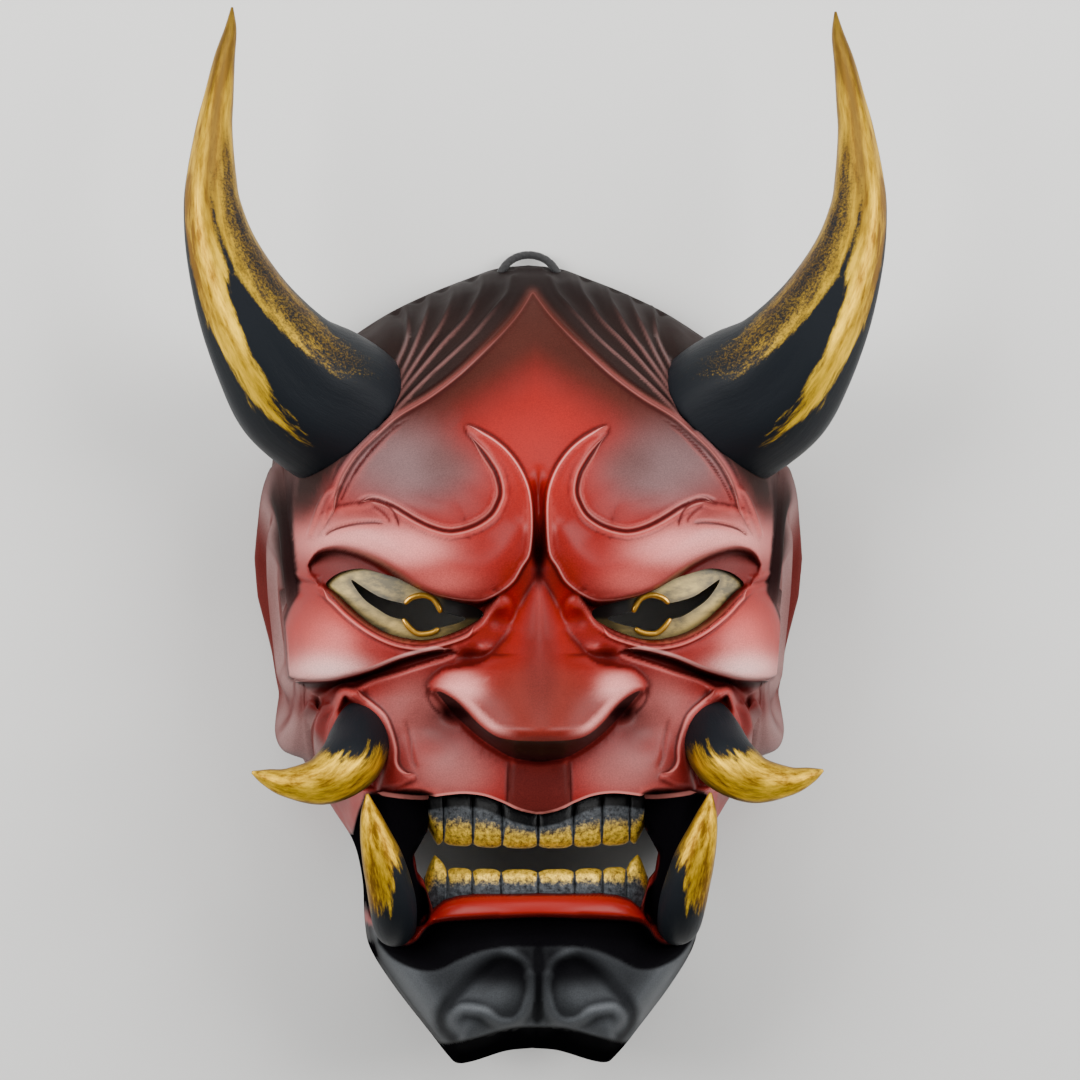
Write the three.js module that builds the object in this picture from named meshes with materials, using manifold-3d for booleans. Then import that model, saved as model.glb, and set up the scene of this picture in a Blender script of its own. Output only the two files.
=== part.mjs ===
// Hannya mask: a red demon face cast as one hollow shell, with two horns, four tusks,
// two inset eye plates, two rows of teeth and a hanging loop of black cord.
// Millimetres. The mask lies face up on its back rim: +X right, +Y to the horn tips, +Z to the viewer.
import * as THREE from 'three';
import { mergeVertices } from 'three/addons/utils/BufferGeometryUtils.js';
import Module from 'manifold-3d';

// Driving dimensions
const FACE_HEIGHT = 104;        // rim to the forehead's highest dome
const MIDDLE_Y = -50;           // the point that the shell's rings are drawn around
const RIM_RISE = 42;            // how far the rim lifts off the ground under the chin
const WALL_AT_RIM = 4.6;        // flat back rim, measured across
const WALL = 3.4;               // least wall behind the relief
const GAP = 0.3;                // play between pieces that touch
const VIEW_DISTANCE = 1100;     // outlines are laid out as they look from this far in front
const VIEW_PLANE = 70;          // height at which a laid-out millimetre is a true one
const CENTRE_SHIFT = 1.05;      // brings the middle of the whole mask to Y = 0
const CORD_RADIUS = 1.65;       // hanging loop
const CORD_HOLE = 1.95;         // hole in the top wall, radius
const CORD_BEND = 12.4;         // radius of the loop's half circle
const CORD_MIDDLE_Y = 103.5;    // centre of that half circle
const CORD_HEIGHT = 7;          // cord above the ground where it leaves the wall
const CORD_SAG = 2.6;           // how much lower its far point hangs

// Outlines of the right half as seen from in front, x and y
const OUTLINE = [[0, 104.5], [12, 103.2], [22.8, 99.4], [36.1, 94.2], [51.3, 87], [64.6, 78.7],
  [79.8, 67.6], [90, 53.2], [95.5, 38], [97.7, 22.8], [97.3, 3.8], [95.8, -19], [93.9, -38],
  [92.3, -57], [88.5, -76], [81, -91], [73.3, -103.4], [66.5, -114.8], [63.5, -129], [63, -144.4],
  [61, -155], [52.5, -169], [38.8, -187], [32, -195.7], [28.5, -198.7], [22.4, -198],
  [10, -194.2], [0, -193.2]];
const HAIRLINE = [[0, 93.5], [1.7, 90.8], [5.6, 85.3], [11.2, 79], [18.8, 71.4], [28.9, 62],
  [40.2, 53.6], [51.8, 46.6], [59.2, 40.3], [67, 32.7], [72.4, 24.8], [75.6, 17.1], [77, 11]];
const STRANDS = [
  [[12, 91.6], [19, 83.6], [26.6, 75.2], [36.9, 66], [46, 57.4], [54, 49.8], [60, 42.6]],
  [[22.6, 99], [23.4, 94], [29, 82.9], [36.9, 75.2], [44.5, 66], [53.4, 54.4], [61, 42.6]],
  [[42.8, 93.5], [44, 87.8], [47.1, 79]]];
const SWIRL_OUT = [[27.3, 43.8], [22.6, 42.3], [16.5, 38.8], [11.2, 34.2], [6.6, 27.9], [3.6, 20.9],
  [2.4, 14], [2.2, 6], [2.6, -1.1], [3.6, -6.3], [6.3, -10.6], [9.7, -16.3], [15.6, -20.9],
  [21.5, -23.4], [27, -23.4], [32, -22.6], [38.7, -20.9], [45.5, -17.9], [52.3, -13.3], [59.1, -9],
  [66, -5.6], [72.8, -3.6], [78, -3.3], [83, -5], [86.2, -9.3]];
const SWIRL_IN = [[26.8, 41], [22.6, 35.7], [18.8, 30.2], [15.8, 24.8], [14.6, 18.6], [15.8, 14],
  [18.8, 9.3], [25, 5.4], [32.9, 3.4], [39.7, 4.6], [46.7, 7.8], [54.5, 12.5], [59.9, 14.8],
  [63.8, 15.4], [67.8, 14]];
const BROW = [[7, 4], [14, -6], [26, -12], [45, -7], [66, 2], [86, 0]];
const EYE_HOLE = [[80.5, -16.9], [76.5, -13.2], [71, -11.3], [65.5, -11], [58.5, -12.8],
  [52.3, -14.7], [45.5, -18.2], [38, -21.3], [30.5, -23.2], [24, -25.1], [20.3, -27.8],
  [22.5, -30.5], [29.4, -34.2], [37, -36.9], [43.7, -38], [51.8, -36.9], [58.6, -34.6],
  [65.3, -30.4], [71.4, -25.1], [77, -20]];
const PUPIL_SLIT = [[70.6, -15.2], [65.7, -18.2], [59.6, -21.7], [52.8, -23.6], [49.4, -23.9],
  [46, -22.6], [42.4, -22.1], [38.8, -23.2], [36.8, -26.6], [31.5, -28.4], [26.9, -29.8],
  [30.6, -31.7], [36.4, -33.2], [39.6, -34.3], [43.6, -34.9], [47.6, -33.6], [50.2, -30.6],
  [55.4, -29.1], [59.6, -26.8], [64.9, -23.2], [68.4, -19.2]];
const LID = [[82.5, -16.7], [76.5, -21.9], [71.5, -27], [65, -32.3], [58.3, -36.2], [51.6, -38.5],
  [43.7, -39.3], [37, -37.9], [29, -35.2], [22.3, -31]];
const CREASE_TOP = [[92, -53], [88, -53.8], [79, -53.7], [71, -52], [62.5, -49.4], [52.2, -45.2],
  [42.1, -42.5], [33.3, -41.2]];
const CREASE_LOW = [[81.5, -68], [77, -63], [73.5, -56.8], [68.6, -56.5], [62.5, -53.5],
  [53, -50.8], [45.5, -48.3], [34.8, -44.8], [30, -43]];
const NOSE = [[0, -7.5], [4, -12], [9.3, -22], [10.4, -28.5], [12.5, -35.5], [18, -43.6],
  [23, -47.3], [29, -48.2], [36, -49.4], [41, -54], [40.6, -57.2], [37.4, -57.4], [32.3, -60.4],
  [28, -64.6], [23, -70], [17, -74.4], [10, -76], [0, -76.4]];
const NOSE_UNDER = [[39, -58], [34, -64], [29, -69.5], [23, -75], [17.4, -79], [10.5, -82.8],
  [2.5, -84.4], [0, -84.5]];
const SOCKET = [[72.5, -59], [66, -63], [61.3, -67.5], [58.5, -72.8], [57.7, -78.6],
  [58.5, -85.3], [61, -94.5]];
const SOCKET_BAND = [[68.6, -56.6], [63, -61], [57.6, -66], [55, -71.8], [53.2, -78.6], [53, -84],
  [51.8, -86.6], [49.4, -88.4], [46.5, -89]];
const LIP_TOP = [[61.3, -95.2], [52.5, -96.2], [42, -97.1], [33.8, -96], [27.2, -95.2],
  [20.7, -96], [14, -98.7], [7.4, -101.8], [1.7, -104], [0, -104.2]];
const MOUTH_SIDE = [[40, -142], [43.5, -131], [45.8, -127.7], [47, -120.5], [42, -111.3]];
const LIP_IN = [[0, -135.5], [24, -135.8], [31, -136.7], [36, -138.5], [40, -142.3], [42.5, -146]];
const LIP_OUT = [[0, -143.2], [24.3, -144], [36, -144.8], [42, -146.8], [46, -151.8], [50, -153.6],
  [56, -152.5], [60, -148.5]];
const UNDER_LIP = [[0, -155], [13, -155.2], [22, -156.8], [30, -160], [38, -163.8], [46, -163.4],
  [54.5, -159.2], [60, -153]];
const CORNER = [[40, -95.5], [61.3, -94.2], [66, -100], [68, -112], [66, -125], [63.5, -138],
  [60, -146], [46, -147], [41, -143.5], [42, -134], [44.2, -131], [45.8, -127.7], [47, -120.5],
  [44.5, -116], [42, -111.3]];
const CUP = [[41, -144.3], [44, -149.5], [48.5, -152.7], [53.5, -153.4], [58, -151], [61, -146.5],
  [62.5, -141]];
const CHIN_PAD = [[3.2, -167], [5.5, -160.5], [11, -157.2], [16.7, -157.5], [22, -160.4],
  [27, -165], [31.4, -170.6], [35, -176], [36.8, -181], [35.6, -186], [32, -189.5]];
const CHIN_WAVE = [[35, -183.5], [31, -179.5], [27.5, -178], [21, -179.3], [15.4, -183],
  [9.5, -183.5], [5.2, -179.5], [3, -172], [3.2, -166]];
const CHIN_EDGE = [[0, -185], [8, -185.2], [14.6, -186.5], [24, -189.2], [33, -191],
  [37.5, -190], [41, -186.5], [49, -176], [57, -163], [61, -152]];

// Centre lines with heights and radii: x, y, z, radius
const HORN = [[54, 33, 34, 26], [65, 42, 45, 28], [75.6, 49.4, 57.5, 29.5], [89.3, 58.9, 71, 27.8],
  [99.9, 71.1, 80, 23.2], [110.6, 88.5, 85, 18.3], [118.9, 108.3, 88, 13.8],
  [122.8, 125.4, 88.5, 10.9], [123.2, 138.3, 87.5, 9.2], [122.1, 155.8, 84.5, 6.9],
  [120.3, 167.4, 82, 5.6], [118, 182, 78, 4], [115.6, 193, 74.5, 2.4], [114.8, 201.6, 71, 0.5]];
const CHEEK_TUSK = [[60.5, -63, 58, 9], [64.5, -70, 74, 10.6], [67.3, -76.5, 88, 11.6],
  [72, -84.6, 100, 11.4], [82.4, -91.2, 107, 9.1], [95, -92, 109, 5.6], [103.4, -89.9, 108, 3.1],
  [108.6, -88, 106, 0.6]];
const LOWER_TUSK = [[53, -147, 74, 7], [54, -145.4, 90, 8.2], [55.2, -138, 100, 8.7],
  [57, -130, 105, 8.3], [59.4, -121.2, 108, 7.5], [62.2, -112.1, 110, 5.7],
  [64.3, -103.4, 111, 3.4], [65.3, -96.3, 111, 0.5]];
const UPPER_TOOTH_EDGES = [-41.6, -35.4, -24.5, -13.5, 0, 13.5, 24.5, 35.4, 41.6];
const LOWER_TOOTH_EDGES = [-42.6, -34, -24.8, -14, 0, 14, 24.8, 34, 42.6];

// Small maths
const clamp = (v, low, high) => Math.min(high, Math.max(low, v));
const mix = (a, b, w) => a * (1 - w) + b * w;

// smooth step from 0 to 1
function ease(v, from, to) {
  const t = clamp((v - from) / (to - from), 0, 1);
  return t * t * (3 - 2 * t);
}

// 1 on a line, falling smoothly to 0 at a distance of width
function hump(d, width) {
  const t = clamp(Math.abs(d) / width, 0, 1);
  return (1 - t * t) ** 2;
}

// quarter round from 0 at the edge to 1 at a depth of width
const roll = (d, width) => Math.sqrt(1 - (1 - clamp(d / width, 0, 1)) ** 2);

// the larger of two heights, with a rounded valley where they cross
function softMax(a, b, blend) {
  const h = clamp(0.5 + 0.5 * (a - b) / blend, 0, 1);
  return mix(b, a, h) + blend * h * (1 - h);
}

const softMin = (a, b, blend) => -softMax(-a, -b, blend);

// value at v on the straight lines through a list of stops
function between(v, stops, values) {
  for (let i = 1; i < stops.length; i += 1) {
    if (v <= stops[i]) {
      const share = clamp((v - stops[i - 1]) / (stops[i] - stops[i - 1]), 0, 1);
      return mix(values[i - 1], values[i], share);
    }
  }
  return values[values.length - 1];
}

// smooth curve through points of any dimension, as a list of points
function curve(points, steps = 6, closed = false) {
  const n = points.length;
  const at = (i) => {
    if (closed) return points[(i + n) % n];
    if (i < 0) return points[0].map((v, k) => 2 * v - points[1][k]);
    if (i >= n) return points[n - 1].map((v, k) => 2 * v - points[n - 2][k]);
    return points[i];
  };
  const out = [];
  for (let i = 0; i < (closed ? n : n - 1); i += 1) {
    const [a, b, c, d] = [at(i - 1), at(i), at(i + 1), at(i + 2)];
    for (let j = 0; j < steps; j += 1) {
      const t = j / steps;
      out.push(b.map((_, k) => 0.5 * (2 * b[k] + (c[k] - a[k]) * t
        + (2 * a[k] - 5 * b[k] + 4 * c[k] - d[k]) * t * t
        + (3 * b[k] - 3 * c[k] + d[k] - a[k]) * t * t * t)));
    }
  }
  if (!closed) out.push(points[n - 1]);
  return out;
}

// distance from a point to a line, and how far along the line it falls, from 0 to 1
function nearest(line, x, y, closed = false) {
  let best = Infinity;
  let reached = 0;
  let passed = 0;
  const count = closed ? line.length : line.length - 1;
  for (let i = 0; i < count; i += 1) {
    const a = line[i];
    const b = line[(i + 1) % line.length];
    const ux = b[0] - a[0];
    const uy = b[1] - a[1];
    const length = Math.hypot(ux, uy);
    const t = length ? clamp(((x - a[0]) * ux + (y - a[1]) * uy) / length ** 2, 0, 1) : 0;
    const d = Math.hypot(x - a[0] - t * ux, y - a[1] - t * uy);
    if (d < best) {
      best = d;
      reached = passed + t * length;
    }
    passed += length;
  }
  return { d: best, along: reached / passed };
}

// distance to a closed loop, positive inside it
function depthIn(loop, x, y) {
  let odd = false;
  for (let i = 0, j = loop.length - 1; i < loop.length; j = i, i += 1) {
    const [x0, y0] = loop[i];
    const [x1, y1] = loop[j];
    if ((y0 > y) !== (y1 > y) && x < (x1 - x0) * (y - y0) / (y1 - y0) + x0) odd = !odd;
  }
  const { d } = nearest(loop, x, y, true);
  return odd ? d : -d;
}

// A laid-out point brought to its true place: nearer things look larger from in front
function place(x, y, z) {
  const k = 1 - (z - VIEW_PLANE) / VIEW_DISTANCE;
  return [x * k, y * k + CENTRE_SHIFT, z];
}

// Curves of the relief
const NOSE_STEPS = 5;
const NOSE_EDGE_FROM = 11;      // the point of NOSE where its lower edge starts
const outline = curve(OUTLINE, 8);
const hairline = curve(HAIRLINE);
const strands = STRANDS.map((line) => curve(line));
const swirlOut = curve(SWIRL_OUT);
const swirlIn = curve(SWIRL_IN);
const brow = curve(BROW);
const lid = curve(LID);
const creaseTop = curve(CREASE_TOP);
const creaseLow = curve(CREASE_LOW);
const nose = curve(NOSE, NOSE_STEPS);
const noseUnder = curve(NOSE_UNDER);
const socket = curve(SOCKET);
const socketBand = curve(SOCKET_BAND);
const lipTop = curve(LIP_TOP);
const lipIn = curve(LIP_IN);
const lipOut = curve(LIP_OUT);
const underLip = curve(UNDER_LIP);
const corner = curve(CORNER, 4, true);
const cup = curve(CUP);
const chinPad = curve(CHIN_PAD);
const chinWave = curve(CHIN_WAVE);
const chinEdge = curve(CHIN_EDGE);

// Areas of the relief
const hairArea = [[0, 125], ...hairline, [84, 0], [120, 0], [120, 125]];
const lobeArea = [...swirlOut, [88, 6], [78, 12], ...swirlIn.slice().reverse()];
const eyeArea = [...swirlOut.slice(swirlOut.length / 2), [85.5, -13], ...lid, [19.5, -27]];
const cheekArea = [...lid.slice().reverse(), [86, -12], [98, -20], [98, -50], ...creaseTop];
const creaseArea = [...creaseTop, ...creaseLow.slice().reverse()];
const noseArea = [...nose, [-60, -76.4], [-60, -7.5]];
const underNoseArea = [[0, -70], [30, -58], [39, -56], ...noseUnder, [-50, -84.5], [-50, -70]];
const socketArea = [...socket, [75, -96], [78, -70]];
const bandArea = [...socketBand, [46.5, -91], [53, -94], [61, -94.5], ...socket.slice().reverse()];
const lowerLipArea = [...lipIn, [44.5, -149], ...lipOut.filter(([x]) => x < 47).reverse()];
const underLipArea = [...lipOut, ...underLip.slice().reverse()];
const padArea = [...chinPad, ...chinWave];
const chinUnderArea = [...chinEdge, [90, -150], [90, -215], [0, -215]];

// The dome that the face is raised from: rings around the middle, from 0 to 1 at the outline
const outlineTurns = outline.map(([x, y]) => Math.atan2(x, y - MIDDLE_Y));
const outlineReach = outline.map(([x, y]) => Math.hypot(x, y - MIDDLE_Y));
const reachAt = (turn) => between(turn, outlineTurns, outlineReach);
const rimHeight = (y) => RIM_RISE * ease(-y, 88, 190);

function ringOf(x, y) {
  const turn = Math.atan2(x, y - MIDDLE_Y);
  return { ring: Math.hypot(x, y - MIDDLE_Y) / reachAt(turn), turn };
}

function dome(x, y) {
  const { ring } = ringOf(x, y);
  const square = 3.1 + 1.6 * ease(-y, -60, 0) - ease(-y, 90, 140);
  const rim = rimHeight(MIDDLE_Y + (y - MIDDLE_Y) / Math.max(ring, 1e-6));
  return rim + (FACE_HEIGHT - rim) * Math.sqrt(Math.max(0, 1 - Math.min(ring, 1) ** square));
}

// Brow, its swirl and the furrow between the two brows
function addBrow(z, x, y, side) {
  const swell = nearest(brow, x, y);
  const out = nearest(swirlOut, x, y);
  const inner = nearest(swirlIn, x, y);
  let top = z + side * (12.5 - 6 * swell.along) * Math.exp(-((swell.d / 14) ** 2));
  top += side * 3 * roll(depthIn(lobeArea, x, y), 3.2) * ease(out.d, 0, 0.1) * ease(86 - x, 0, 12);
  top -= side * 2 * hump(inner.d, 1.9) * ease(inner.along, 0, 0.15);
  top += side * 2.6 * Math.exp(-(Math.hypot((x - 36) / 17, (y - 22) / 13) ** 2));
  top -= side * 2.2 * Math.exp(-((Math.hypot(x - 40, (y - 15) / 0.55) / 12) ** 2));
  return top - side * 7 * ease(-y, -30, -14) * ease(y, -12, -4) * hump(x, 4.5);
}

// Hair cap: a raised edge along the hairline and combed strands
function addHair(z, x, y, ring) {
  const inHair = depthIn(hairArea, x, y);
  if (inHair < 0) return z;
  let rise = 2.6 * roll(inHair, 1.6);
  strands.forEach((line) => {
    const strand = nearest(line, x, y);
    rise -= 1.6 * hump(strand.d, 2.2) * ease(strand.along, 0, 0.1);
  });
  return z + rise * ease(y, -6, 14) * ease(1 - ring, 0, 0.03);
}

// Hollow around the eye and the rounded rim of its lower lid
const eyeballHeight = (x, y) => 91 - 0.0105 * (x - 40) ** 2 - 0.01 * (y + 26) ** 2;

function addEye(z, x, y) {
  const hollow = ease(depthIn(eyeArea, x, y), -0.3, 0.9);
  return mix(z, Math.min(z, eyeballHeight(x, y) + 2), hollow);
}

// Cheekbone, its rim under the eye and the deep crease below it
function addCheek(z, x, y) {
  const cheek = depthIn(cheekArea, x, y);
  const across = Math.abs(x - 60) / 36.5;
  const body = 1 - (x > 60 ? across ** 2.6 : across ** 2) - ((y + 40) / 33) ** 2;
  const pillow = 40 + 58 * Math.sqrt(Math.max(0, body));
  let top = mix(z, softMax(z, pillow, 6), ease(cheek, -0.2, 1));
  const rim = nearest(lid, x, y);
  top += 2.2 * hump(rim.d, 1.9) * ease(rim.along, 0, 0.08) * ease(1 - rim.along, 0, 0.1);
  return { top, cheek };
}

// Muzzle between the nose and the upper lip, with the tusk socket in its side
function addMuzzle(z, x, y, cheek) {
  const muzzle = 112 - 0.0062 * x ** 2 - 0.001 * (y + 95) ** 2;
  const share = ease(-y, 38, 60) * (1 - ease(cheek, -1.2, 0.4))
    * ease(72 - x, 0, 8) * ease(y, -118, -108);
  let top = mix(z, softMin(Math.max(muzzle, dome(x, y) - 3), muzzle, 6), share);
  const valley = (4 + 10 * ease(x, 50, 80)) * (1 - ease(x, 80, 93));
  top -= valley * ease(depthIn(creaseArea, x, y), -0.4, 1.6);
  return top;
}

// Nose: a hooded ridge that flares into two wings over a sharp lower edge
const NOSE_STOPS = [4, 9, 20, 38, 60, 72, 77];
const NOSE_RIDGE = [103, 106, 110.5, 117.5, 131, 137.5, 136.5];
const NOSE_WIDTH_STOPS = [4, 9, 22, 35, 44, 50, 56, 62, 70, 77];
const NOSE_WIDTH = [2.5, 4, 9.5, 12.5, 19, 36, 41, 35, 28, 26];
const NOSE_FALL_STOPS = [4, 20, 40, 56, 77];
const NOSE_FALL = [3, 12, 16, 20, 17];
const noseEdge = nose.slice(NOSE_EDGE_FROM * NOSE_STEPS);

function addNose(z, x, y) {
  const inNose = depthIn(noseArea, x, y);
  const below = ease(depthIn(underNoseArea, x, y), -0.3, 0.5) * (1 - ease(inNose, -0.3, 0.3));
  const edge = nearest(noseEdge, x, y);
  const under = between(x, [0, 10, 20, 30, 38], [134, 132, 126, 117, 111]) - 2.6 * edge.d;
  let top = mix(z, softMax(z, under, 1.5), below);
  const u = clamp(x / between(-y, NOSE_WIDTH_STOPS, NOSE_WIDTH), 0, 1.3);
  const hood = between(-y, NOSE_STOPS, NOSE_RIDGE) - between(-y, NOSE_FALL_STOPS, NOSE_FALL) * u ** 1.7;
  const softEdge = 2.4 * (1 - roll(edge.d, 6)) * ease(-y, 50, 58);
  top = mix(top, softMax(top, hood - softEdge, 2), ease(inNose, -0.6, 0.8));
  const outside = 1 - ease(inNose, -1, 0.5);
  top -= 7 * Math.exp(-((Math.hypot((x - 31) / 1.5, y + 65.5) / 3) ** 2)) * outside;
  top -= 4 * Math.exp(-(Math.hypot((x - 40) / 9, (y + 72) / 9) ** 2)) * outside;
  top -= 4 * Math.exp(-(Math.hypot((x - 25.5) / 5, (y + 44.5) / 2.6) ** 2)) * outside;
  const philtrum = between(-y, [82, 90, 99, 106], [10.5, 11.2, 11.6, 12.5]);
  return top + 2.2 * ease(philtrum - x, -0.6, 0.6) * ease(-y, 79, 83) * ease(y, -106, -103);
}

function addSocket(z, x, y) {
  const raised = z + 1.6 * ease(depthIn(bandArea, x, y), -0.3, 1);
  return mix(raised, Math.min(raised, 78), ease(depthIn(socketArea, x, y), -0.2, 0.8));
}

// Lower jaw: lip, cup of the lower tusk, dark pillar at the mouth's corner
const jawHeight = (x, y) => 107 - 0.0088 * x ** 2 - 0.0014 * (y + 160) ** 2;

function addJaw(z, x, y) {
  let top = mix(z, softMin(jawHeight(x, y), dome(x, y) + 22, 5), ease(-y, 96, 124));
  const fromLip = nearest(lipOut, x, y).d;
  const share = fromLip / (fromLip + nearest(underLip, x, y).d + 1e-6);
  top -= 8.5 * (1 - share) ** 1.3 * ease(depthIn(underLipArea, x, y), -0.2, 0.8);
  const lip = jawHeight(x, y) + 2 + 4.5 * roll(nearest(lipIn, x, y).d, 6.5);
  top = mix(top, lip, ease(depthIn(lowerLipArea, x, y), -0.4, 0.6));
  top += 4.5 * hump(nearest(cup, x, y).d, 2.4);
  const round = 78 + 14 * Math.sqrt(Math.max(0, 1 - ((x - 55) / 17) ** 2)) - 0.004 * (y + 118) ** 2;
  const pillar = softMin(round, dome(x, y) + 16, 5);
  return mix(top, pillar, ease(depthIn(corner, x, y), -0.2, 0.9));
}

// Chin: two shallow bowls with rolled rims, a furrow between them and the edge underneath
function addChin(z, x, y) {
  const rim = nearest(chinPad, x, y);
  const wave = nearest(chinWave, x, y);
  let top = z - 3.6 * roll(depthIn(padArea, x, y), 5) * (1 - 0.55 * ease(-y, 165, 180));
  top += hump(rim.d, 2.4) * ease(rim.along, 0, 0.1) * ease(1 - rim.along, 0.1, 0.5);
  top += 2.4 * hump(wave.d, 3) * ease(wave.along, 0, 0.2);
  top -= 1.6 * hump(x, 3) * ease(-y, 150, 158) * ease(y, -190, -180);
  const past = depthIn(chinUnderArea, x, y);
  return past > 0 ? Math.max(top - 2.4 * past, rimHeight(y)) : top;
}

// Height of the carved face over any point, in front-view millimetres
function relief(px, y) {
  const x = Math.abs(px);
  const { ring } = ringOf(x, y);
  const side = ease(1 - ring, 0, 0.1);
  let z = addBrow(dome(x, y), x, y, side);
  z = addHair(z, x, y, ring);
  z = addEye(z, x, y);
  const { top, cheek } = addCheek(z, x, y);
  z = addMuzzle(top, x, y, cheek);
  z = addNose(z, x, y);
  z = addSocket(z, x, y);
  z = addJaw(z, x, y);
  z = addChin(z, x, y);
  const floor = rimHeight(MIDDLE_Y + (y - MIDDLE_Y) / Math.max(ring, 1e-6));
  return mix(z, floor, ease(ring, 0.9975, 1));
}

// Points of the face mesh lie on a disc whose radius spreads the steep side wall out
const DISC = {
  toFace(u, v) {
    const t = Math.hypot(u, v);
    const turn = Math.atan2(u, v);
    const reach = t * (2 - t) * reachAt(turn);
    return [reach * Math.sin(turn), MIDDLE_Y + reach * Math.cos(turn)];
  },
  fromFace(x, y) {
    const { ring, turn } = ringOf(x, y);
    const t = 1 - Math.sqrt(Math.max(0, 1 - ring));
    return [t * Math.sin(turn), t * Math.cos(turn)];
  },
};

// points at a steady spacing along a line, moved sideways by offset
function spaced(line, spacing, offset = 0) {
  const out = [];
  let rest = 0;
  for (let i = 1; i < line.length; i += 1) {
    const [ax, ay] = line[i - 1];
    const [bx, by] = line[i];
    const length = Math.hypot(bx - ax, by - ay);
    let s = rest;
    for (; s < length; s += spacing) {
      const t = s / length;
      const [shiftX, shiftY] = [-offset * (by - ay) / length, offset * (bx - ax) / length];
      out.push([mix(ax, bx, t) + shiftX, mix(ay, by, t) + shiftY]);
    }
    rest = s - length;
  }
  return out;
}

// Triangles between points so that no circle through three corners holds another point
function triangulate(points) {
  const all = [...points, [-60, -50], [60, -50], [0, 70]];
  const n = points.length;
  const circle = (a, b, c) => {
    const [ax, ay] = all[a];
    const bx = all[b][0] - ax;
    const by = all[b][1] - ay;
    const cx = all[c][0] - ax;
    const cy = all[c][1] - ay;
    const area = 2 * (bx * cy - by * cx);
    const ux = (cy * (bx * bx + by * by) - by * (cx * cx + cy * cy)) / area;
    const uy = (bx * (cx * cx + cy * cy) - cx * (bx * bx + by * by)) / area;
    return { corners: [a, b, c], x: ax + ux, y: ay + uy, r2: ux * ux + uy * uy };
  };
  let triangles = [circle(n, n + 1, n + 2)];
  for (let p = n - 1; p >= 0; p -= 1) {
    const [x, y] = all[p];
    const kept = [];
    const border = new Map();
    triangles.forEach((t) => {
      if ((x - t.x) ** 2 + (y - t.y) ** 2 >= t.r2 * (1 - 1e-10)) {
        kept.push(t);
        return;
      }
      const [a, b, c] = t.corners;
      [[a, b], [b, c], [c, a]].forEach(([i, j]) => {
        if (!border.delete(`${j} ${i}`)) border.set(`${i} ${j}`, [i, j]);
      });
    });
    border.forEach(([i, j]) => kept.push(circle(i, j, p)));
    triangles = kept;
  }
  return triangles.map((t) => t.corners).filter((t) => Math.max(...t) < n);
}

// The right half's mesh points on the disc: outer rings, mirror line, creases, then a grid
const borderTurns = spaced(outline, 9).concat([OUTLINE[OUTLINE.length - 1]])
  .map(([x, y]) => Math.atan2(x, y - MIDDLE_Y));

const LEAST_APART = 0.0065;     // closest that two points of the disc come
const ON_MIRROR = 0.6;          // points this close to the mirror line move onto it

function discPoints(rings, features, gridStep, clearance) {
  const points = borderTurns.map((turn) => [Math.sin(turn), Math.cos(turn)]);
  points[0][0] = 0;
  points[points.length - 1][0] = 0;
  const clear = (u, v, least) => points.every(([pu, pv]) => Math.hypot(pu - u, pv - v) > least);
  rings.forEach(([t, count]) => {
    for (let i = 0; i <= count; i += 1) {
      const turn = Math.PI * i / count;
      points.push([i % count ? t * Math.sin(turn) : 0, t * Math.cos(turn)]);
    }
  });
  const innermost = rings[rings.length - 1][0];
  features.forEach(([x, y]) => {
    const [side, v] = DISC.fromFace(Math.max(x, 0), y);
    const u = x < ON_MIRROR ? 0 : side;
    const inside = Math.hypot(side, v) < innermost - clearance;
    if (inside && clear(u, v, LEAST_APART)) points.push([u, v]);
  });
  for (let v = -1, row = 0; v < 1; v += gridStep * 0.866, row += 1) {
    for (let u = row % 2 ? gridStep / 2 : 0; u < 1; u += gridStep) {
      const near = Math.hypot(u, v) < innermost - clearance;
      if (near && clear(u, v + 1e-4 * Math.sin(40 * u), gridStep * 0.72)) {
        points.push([u, v + 1e-4 * Math.sin(40 * u)]);
      }
    }
  }
  return points;
}

function creasePoints() {
  const out = [];
  const line = (points, spacing, offsets) => {
    offsets.forEach((offset) => out.push(...spaced(points, spacing, offset)));
  };
  line([[0, 98], [0, -190]], 5.4, [0]);
  line(nose, 4.8, [0.9, -0.9]);
  line(swirlOut, 5.8, [-0.4, 2.8]);
  line(swirlIn, 6.2, [0, 2, -2]);
  line(lid, 4.6, [1.3, -0.5, -2.2]);
  line(creaseTop, 3, [-0.4, 1.6]);
  line(creaseLow, 3, [0.4, -1.6]);
  line(hairline, 7, [-0.2, 1.8]);
  strands.forEach((strand) => line(strand, 8.5, [0, 2.4, -2.4]));
  line(noseUnder, 5, [0]);
  line(socket, 4.6, [-0.2, 0.9]);
  line(socketBand, 5.5, [0, 1.4]);
  line(lipTop, 4, [0.8, -1.6]);
  line(lipIn, 5, [-1, -4]);
  line(lipOut, 5.6, [-0.4, 0.8]);
  line(underLip, 6, [0]);
  line(corner, 6.5, [0.6, -1]);
  line(cup, 5, [0, 2.2, -2.2]);
  line(chinPad, 4.4, [0, -2.6]);
  line(chinWave, 4.6, [0, 2.8, -2.8]);
  line(chinEdge, 5, [0.3, -0.6]);
  return out;
}

const mirrored = ([x, y, z]) => [-x, y, z];

// Closed surface from loose triangles that share corners
function closedGeometry(positions) {
  const geometry = new THREE.BufferGeometry();
  geometry.setAttribute('position', new THREE.Float32BufferAttribute(positions, 3));
  return mergeVertices(geometry, 1e-3);
}

const wasm = await Module();
wasm.setup();

function toSolid(geometry) {
  return new wasm.Manifold(new wasm.Mesh({
    numProp: 3,
    vertProperties: new Float32Array(geometry.attributes.position.array),
    triVerts: new Uint32Array(geometry.index.array),
  }));
}

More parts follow.
